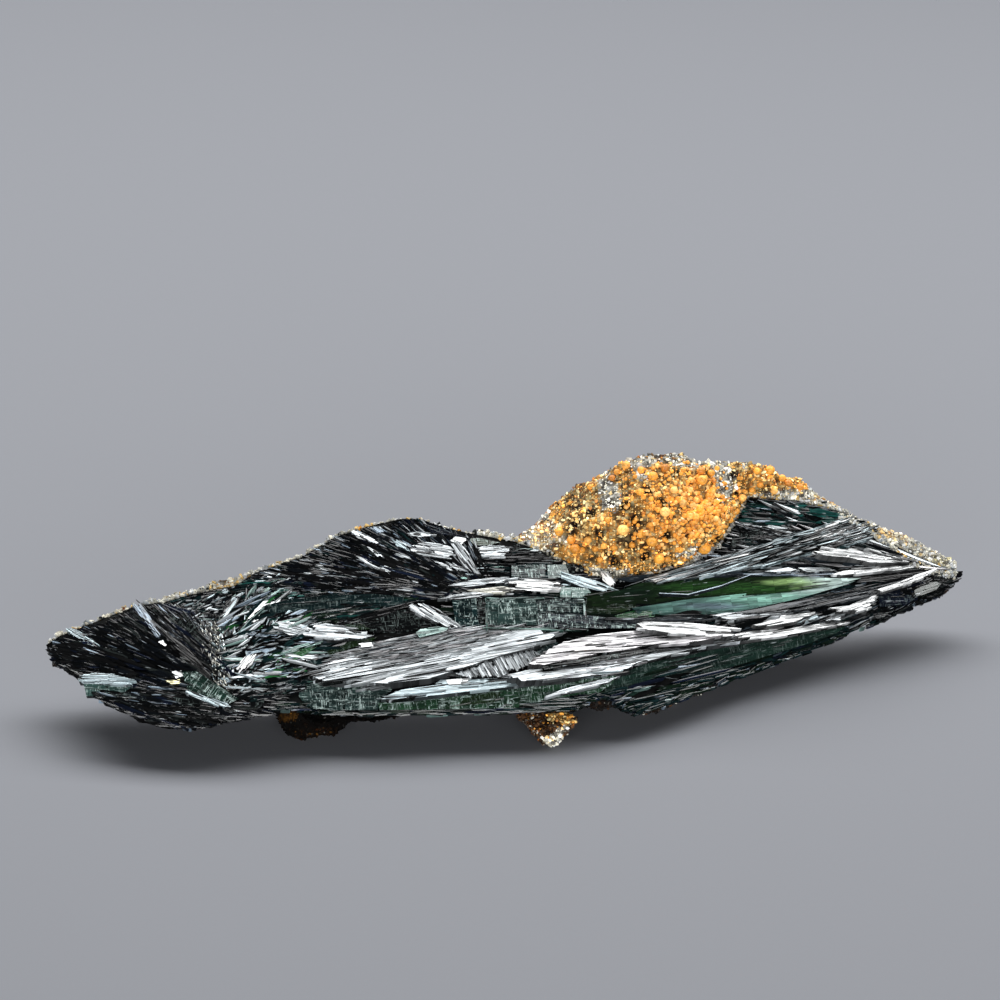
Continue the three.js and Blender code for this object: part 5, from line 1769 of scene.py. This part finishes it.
@dataclass
class NodularMatrix(CrumblyLump):
    """The rind behind the crystals, with the lump of ochre nodules on it."""

    nodule_finish: bpy.types.Material | None = None
    beads: int = 420
    bead_middle: Spot = (690, 512)
    bead_spread: Spot = (30, 26)
    bead_size: Span = (2.6, 6)
    rim_crumbs: int = 7000
    rim_columns: Span = (46, 955)
    rim_size: Span = (0.06, 0.34)
    lump_columns: Span = (556, 745)
    golden_columns: Span = (550, 806)
    earthy_columns: Span = (100, 890)
    rusty_columns: Span = (212, 244)
    right_corner: float = 838

    def mix(self, point: Vector, rng: Random) -> Mix:
        """Chooses the mix of colours for a point, from the patches and the rim of the rind.

        Args:
            point: Its place in millimetres.
            rng: What the ragged edges are drawn from.

        Returns:
            The mix.
        """
        column, row = SHEET.spot_of(point)
        top_row, top_depth = table_at(CRYSTAL_TOP, column)
        foot_row = table_at(CRYSTAL_FOOT, column)[0]
        behind = point.y - (top_depth - SHEET.depth_origin)
        wander = noise.noise(point * 0.45) * 7 + rng.gauss(0, 1.2)
        # low on the rind, under the crystals, it is near black, partly its own colour and partly painted
        # shade, except well behind the face
        if row + 0.4 * wander > min(lerp(top_row, foot_row, 0.45), top_row + 30):
            earthy = behind >= 1.5 and self.earthy_columns[0] <= column <= self.earthy_columns[1]
            return self.base if earthy else DARK_AND_SHADED
        if behind + wander > 9:
            return self.base
        chosen = super().mix(point, rng)
        if chosen is not self.base:
            return chosen
        golden = row <= top_row - 4 and self.golden_columns[0] <= column <= self.golden_columns[1]
        return GOLDEN if golden else RIM

    def balls(self) -> bpy.types.Object:
        """Makes the larger round nodules of the lump.

        Returns:
            The piece.
        """
        rng = Random(3)
        ball = bmesh.new()
        bmesh.ops.create_icosphere(ball, subdivisions=3, radius=1)
        swarm = Swarm(ball, smooth=True)
        bead = bmesh.new()
        bmesh.ops.create_icosphere(bead, subdivisions=2, radius=1)
        small = Swarm(bead, smooth=True)
        tree = BVHTree.FromPolygons([v.co / MM for v in self.shape.vertices],
                                    [tuple(p.vertices) for p in self.shape.polygons])
        beads = []
        while len(beads) < self.beads:
            spot = tuple(rng.gauss(*pair) for pair in zip(self.bead_middle, self.bead_spread))
            if inside(spot, BEADED):
                beads.append((*spot, rng.uniform(*self.bead_size)))
        for column, row, size in (*BALLS, *beads):
            place = tree.ray_cast(SHEET.eye, SHEET.ray(column, row).normalized())[0]
            if place is None:
                continue
            radius = size * SHEET.step / 2
            other = rng.choice((Tint.OCHRE, Tint.OCHRE, Tint.HONEY, Tint.RUST))
            tint = LINEAR[Tint.AMBER].lerp(LINEAR[other], rng.random() * 0.7)
            turn = Matrix.Diagonal((radius, radius * 0.95, radius * 0.92, 1))
            place = place - SHEET.forward * radius * 0.45
            (small if size < self.bead_size[1] else swarm).add(Matrix.Translation(place) @ turn,
                                                               Paint(tint * rng.uniform(1.1, 1.6)))
        to_object("ochre_beads", small.mesh("ochre_beads"), self.nodule_finish, self.slot)
        return to_object("ochre_nodules", swarm.mesh("ochre_nodules"), self.nodule_finish, self.slot)

    def rim(self) -> bpy.types.Object:
        """Makes the crumbs of the pale rim that shows along the top edge of the crystals.

        Returns:
            The piece.
        """
        rng = Random(17)
        swarm = Swarm(crumb(Crumb.BLOCK, 17))
        low, high = (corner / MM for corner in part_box("nodular_matrix"))
        for _ in range(self.rim_crumbs):
            column = rng.uniform(*self.rim_columns)
            top_row, top_depth = table_at(CRYSTAL_TOP, column)
            swell = clamp(1 + 1.5 * noise.noise(Vector((column * 0.11, 0, 7))), 0.3, 2)
            wide = table_at(RIM_WIDTH, column)[0] * swell
            if rng.random() > wide / 6:
                continue
            point = SHEET.at_depth(column, top_row - rng.uniform(-0.4, 1) * wide,
                                   top_depth + rng.uniform(0.1, 0.9))
            if column > self.right_corner and rng.random() < 0.6:
                row = top_row + rng.uniform(-1, 7) * rng.random()
                point = SHEET.on_face(column, row) - SHEET.forward * 0.9
            if self.lump_columns[0] < column < self.lump_columns[1]:
                point = SHEET.at_depth(column, top_row + rng.uniform(-1.5, 1.5),
                                       top_depth + rng.uniform(-0.3, 0.5))
            size = lerp(*self.rim_size, rng.random() ** 2.4)
            point = held(point, low, high, size)
            turn = Matrix.Rotation(rng.uniform(0, 6.28), 4, Vector((rng.gauss(0, 1), rng.gauss(0, 1), 1)))
            rusty = noise.noise(Vector((column * 0.045, 0, 3))) > 0.26
            rusty = rusty or self.rusty_columns[0] < column < self.rusty_columns[1]
            tint = drawn(RUSTY_RIM if rusty else RIM, rng)
            squash = Matrix.Diagonal((size * 1.5, size, size * rng.uniform(0.4, 0.9), 1))
            paint = Paint(LINEAR[tint] * rng.uniform(0.5, 1.15))
            swarm.add(Matrix.Translation(point) @ turn @ squash, paint)
        return to_object("pale_rim", swarm.mesh("pale_rim"), self.finish, self.slot)


BEADED: tuple[Spot, ...] = (
    (600, 470), (650, 462), (700, 462), (735, 470), (760, 478), (740, 500), (725, 540), (700, 560),
    (650, 566), (580, 556), (566, 530), (600, 520),
)
RIM_WIDTH: Table = (
    (40, 2), (60, 2.4), (140, 2), (165, 3), (200, 4.5), (235, 7), (255, 2.4), (330, 1.8), (400, 0.8),
    (470, 0.9), (500, 4), (556, 4), (745, 5), (812, 5), (850, 6), (960, 5),
)
BALLS: tuple[tuple[float, float, float], ...] = (
    (623, 530, 12), (575, 549, 11), (571, 540, 9), (652, 542, 11), (659, 559, 11), (667, 559, 8),
    (704, 548, 14), (702, 480, 11), (701, 471, 9), (711, 473, 8), (653, 476, 10), (665, 468, 9),
    (626, 465, 9), (665, 512, 11), (683, 503, 8), (700, 508, 8), (709, 510, 8), (720, 507, 7),
    (742, 498, 9), (770, 470, 10), (788, 483, 8), (774, 491, 8), (721, 527, 7), (690, 516, 8),
    (674, 490, 8), (640, 492, 8), (612, 478, 7), (590, 487, 6), (614, 548, 7), (600, 560, 7),
    (559, 532, 9), (641, 470, 8), (696, 500, 7), (690, 490, 7), (716, 519, 7), (730, 520, 7),
    (736, 511, 8), (752, 490, 7), (760, 485, 7), (800, 487, 8), (782, 478, 8), (757, 471, 8),
    (617, 472, 7), (610, 467, 6), (680, 550, 7), (684, 540, 7), (650, 525, 7), (640, 535, 7),
    (632, 545, 7), (608, 520, 7), (588, 540, 8), (582, 550, 7), (595, 549, 7), (604, 546, 7),
    (690, 480, 7), (683, 470, 6), (700, 530, 7), (712, 536, 7), (718, 512, 7), (696, 517, 8),
    (708, 500, 7),
)


# ---- Studio ----

@dataclass(frozen=True)
class Studio:
    """A pale floor, soft light from above and a little behind, and the camera at the eye of the drawing."""

    floor_size: float = 6.0
    room_colour: tuple[float, float, float] = (0.75, 0.8, 0.9)
    room_light: float = 0.08
    sensor: float = 36.0
    frame_columns: float = 1000

    def build(self) -> None:
        """Lays the floor, hangs the lights and sets up the camera."""
        mesh = bmesh.new()
        bmesh.ops.create_grid(mesh, x_segments=1, y_segments=1, size=self.floor_size / 2)
        data = finished(mesh, "floor")
        data.materials.append(FloorFinish().material())
        floor = bpy.data.objects.new("floor", data)
        bpy.context.scene.collection.objects.link(floor)
        for softbox in SOFTBOXES:
            self.light(softbox)
        world = bpy.data.worlds.new("dim_room")
        world.use_nodes = True
        room = world.node_tree.nodes["Background"].inputs
        room[0].default_value, room[1].default_value = (*self.room_colour, 1), self.room_light
        bpy.context.scene.world = world
        bpy.context.scene.view_settings.view_transform = "Standard"
        self.camera()

    @staticmethod
    def light(softbox: Softbox) -> None:
        """Hangs a softbox.

        Args:
            softbox: The light.
        """
        lamp = bpy.data.lights.new(softbox.name, "AREA")
        lamp.shape = "RECTANGLE"
        lamp.size, lamp.size_y = softbox.size
        lamp.energy = softbox.power
        holder = bpy.data.objects.new(softbox.name, lamp)
        holder.location = softbox.place
        holder.rotation_mode = "QUATERNION"
        holder.rotation_quaternion = softbox.turn()
        bpy.context.scene.collection.objects.link(holder)

    def camera(self) -> None:
        """Puts the camera at the eye of the drawing."""
        data = bpy.data.cameras.new("camera")
        data.sensor_width = self.sensor
        data.lens = self.sensor * SHEET.eye_distance / (self.frame_columns * SHEET.step)
        data.clip_start, data.clip_end = 0.01, 20
        camera = bpy.data.objects.new("camera", data)
        camera.location = SHEET.eye * MM
        camera.rotation_mode = "QUATERNION"
        camera.rotation_quaternion = SHEET.forward.to_track_quat("-Z", "Y")
        bpy.context.scene.collection.objects.link(camera)
        bpy.context.scene.camera = camera


def main() -> None:
    """Builds the specimen and its studio."""
    logging.basicConfig(level=logging.INFO, format="%(name)s: %(message)s")
    vivianite = VivianiteFinish().material()
    # crystals too thin to cleave keep a sharper, weaker shine, and the mass under them has none
    fibrous = VivianiteFinish("vivianite_fibrous", specular=0.35, glassy_roughness=0.1,
                              relief=0.01).material()
    groundmass = VivianiteFinish("vivianite_groundmass", specular=0.08, glassy_roughness=0.85).material()
    plate = CrystalPlate(vivianite, fibrous, groundmass)
    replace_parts(plate.core(), "vivianite_crystals")
    plate.blades()
    plate.laths("left_laths", LEFT_THICKETS, 21)
    plate.laths("middle_laths", MIDDLE_THICKETS, 22)
    plate.laths("right_laths", RIGHT_THICKETS, 23)
    matrix = MatrixFinish().material()
    # limonite skin, smooth as it grew: a soft shine on each ball
    nodules = MatrixFinish("ochre_nodule_skin", specular=0.4, roughness=0.45, relief=0.04).material()
    rind = NodularMatrix("nodular_matrix", "matrix_rind", "matrix", matrix, BACK, BLOOMS, voxel=0.4,
                         hollows=HOLLOWS, nodule_finish=nodules)
    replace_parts(rind.body(), "nodular_matrix")
    rind.balls()
    rind.rim()
    rind.grains("lump_grains", 6400, (0.12, 0.4), (470, 815), True, 31, 2.05)
    rind.grains("lump_grit", 11000, (0.08, 0.22), (470, 815), True, 34, 1.75, Crumb.GRIT)
    rind.grains("rind_grains", 2400, (0.1, 0.3), (805, 965), True, 33, 1.4, Crumb.BLOCK)
    rind.grains("rind_grit", 4500, (0.06, 0.16), (805, 965), True, 35, 1.5, Crumb.GRIT)
    rind.grains("back_grains", 4200, (0.12, 0.5), front=False, seed=32, shade=1.1, kind=Crumb.BLOCK)
    # the feet's matrix, quite dull; the left foot is tinted nearly black, its own dark colour with painted
    # shade from under the plate
    dull_matrix = MatrixFinish("dark_matrix", specular=0.08, roughness=0.85).material()
    left = CrumblyLump("left_foot", "left_foot_matrix", "dark_matrix", dull_matrix, DARK_AND_SHADED, LEFT_FOOT_BLOOMS,
                       voxel=0.2, painted_crevice_shade=0.06, taper=0.15)
    middle = CrumblyLump("middle_foot", "middle_foot_matrix", "dark_matrix", dull_matrix, DUSKY,
                         MIDDLE_FOOT_BLOOMS, voxel=0.2, taper=0.45)
    # the left foot is darkened far more than the middle one: painted shade under the plate
    for foot, shade in ((left, 0.16), (middle, 2.0)):
        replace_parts(foot.body(), foot.node)
        foot.grains(foot.node + "_grains", 900, (0.1, 0.36), seed=len(foot.node), shade=shade)
    Studio().build()


if __name__ == "__main__":
    main()
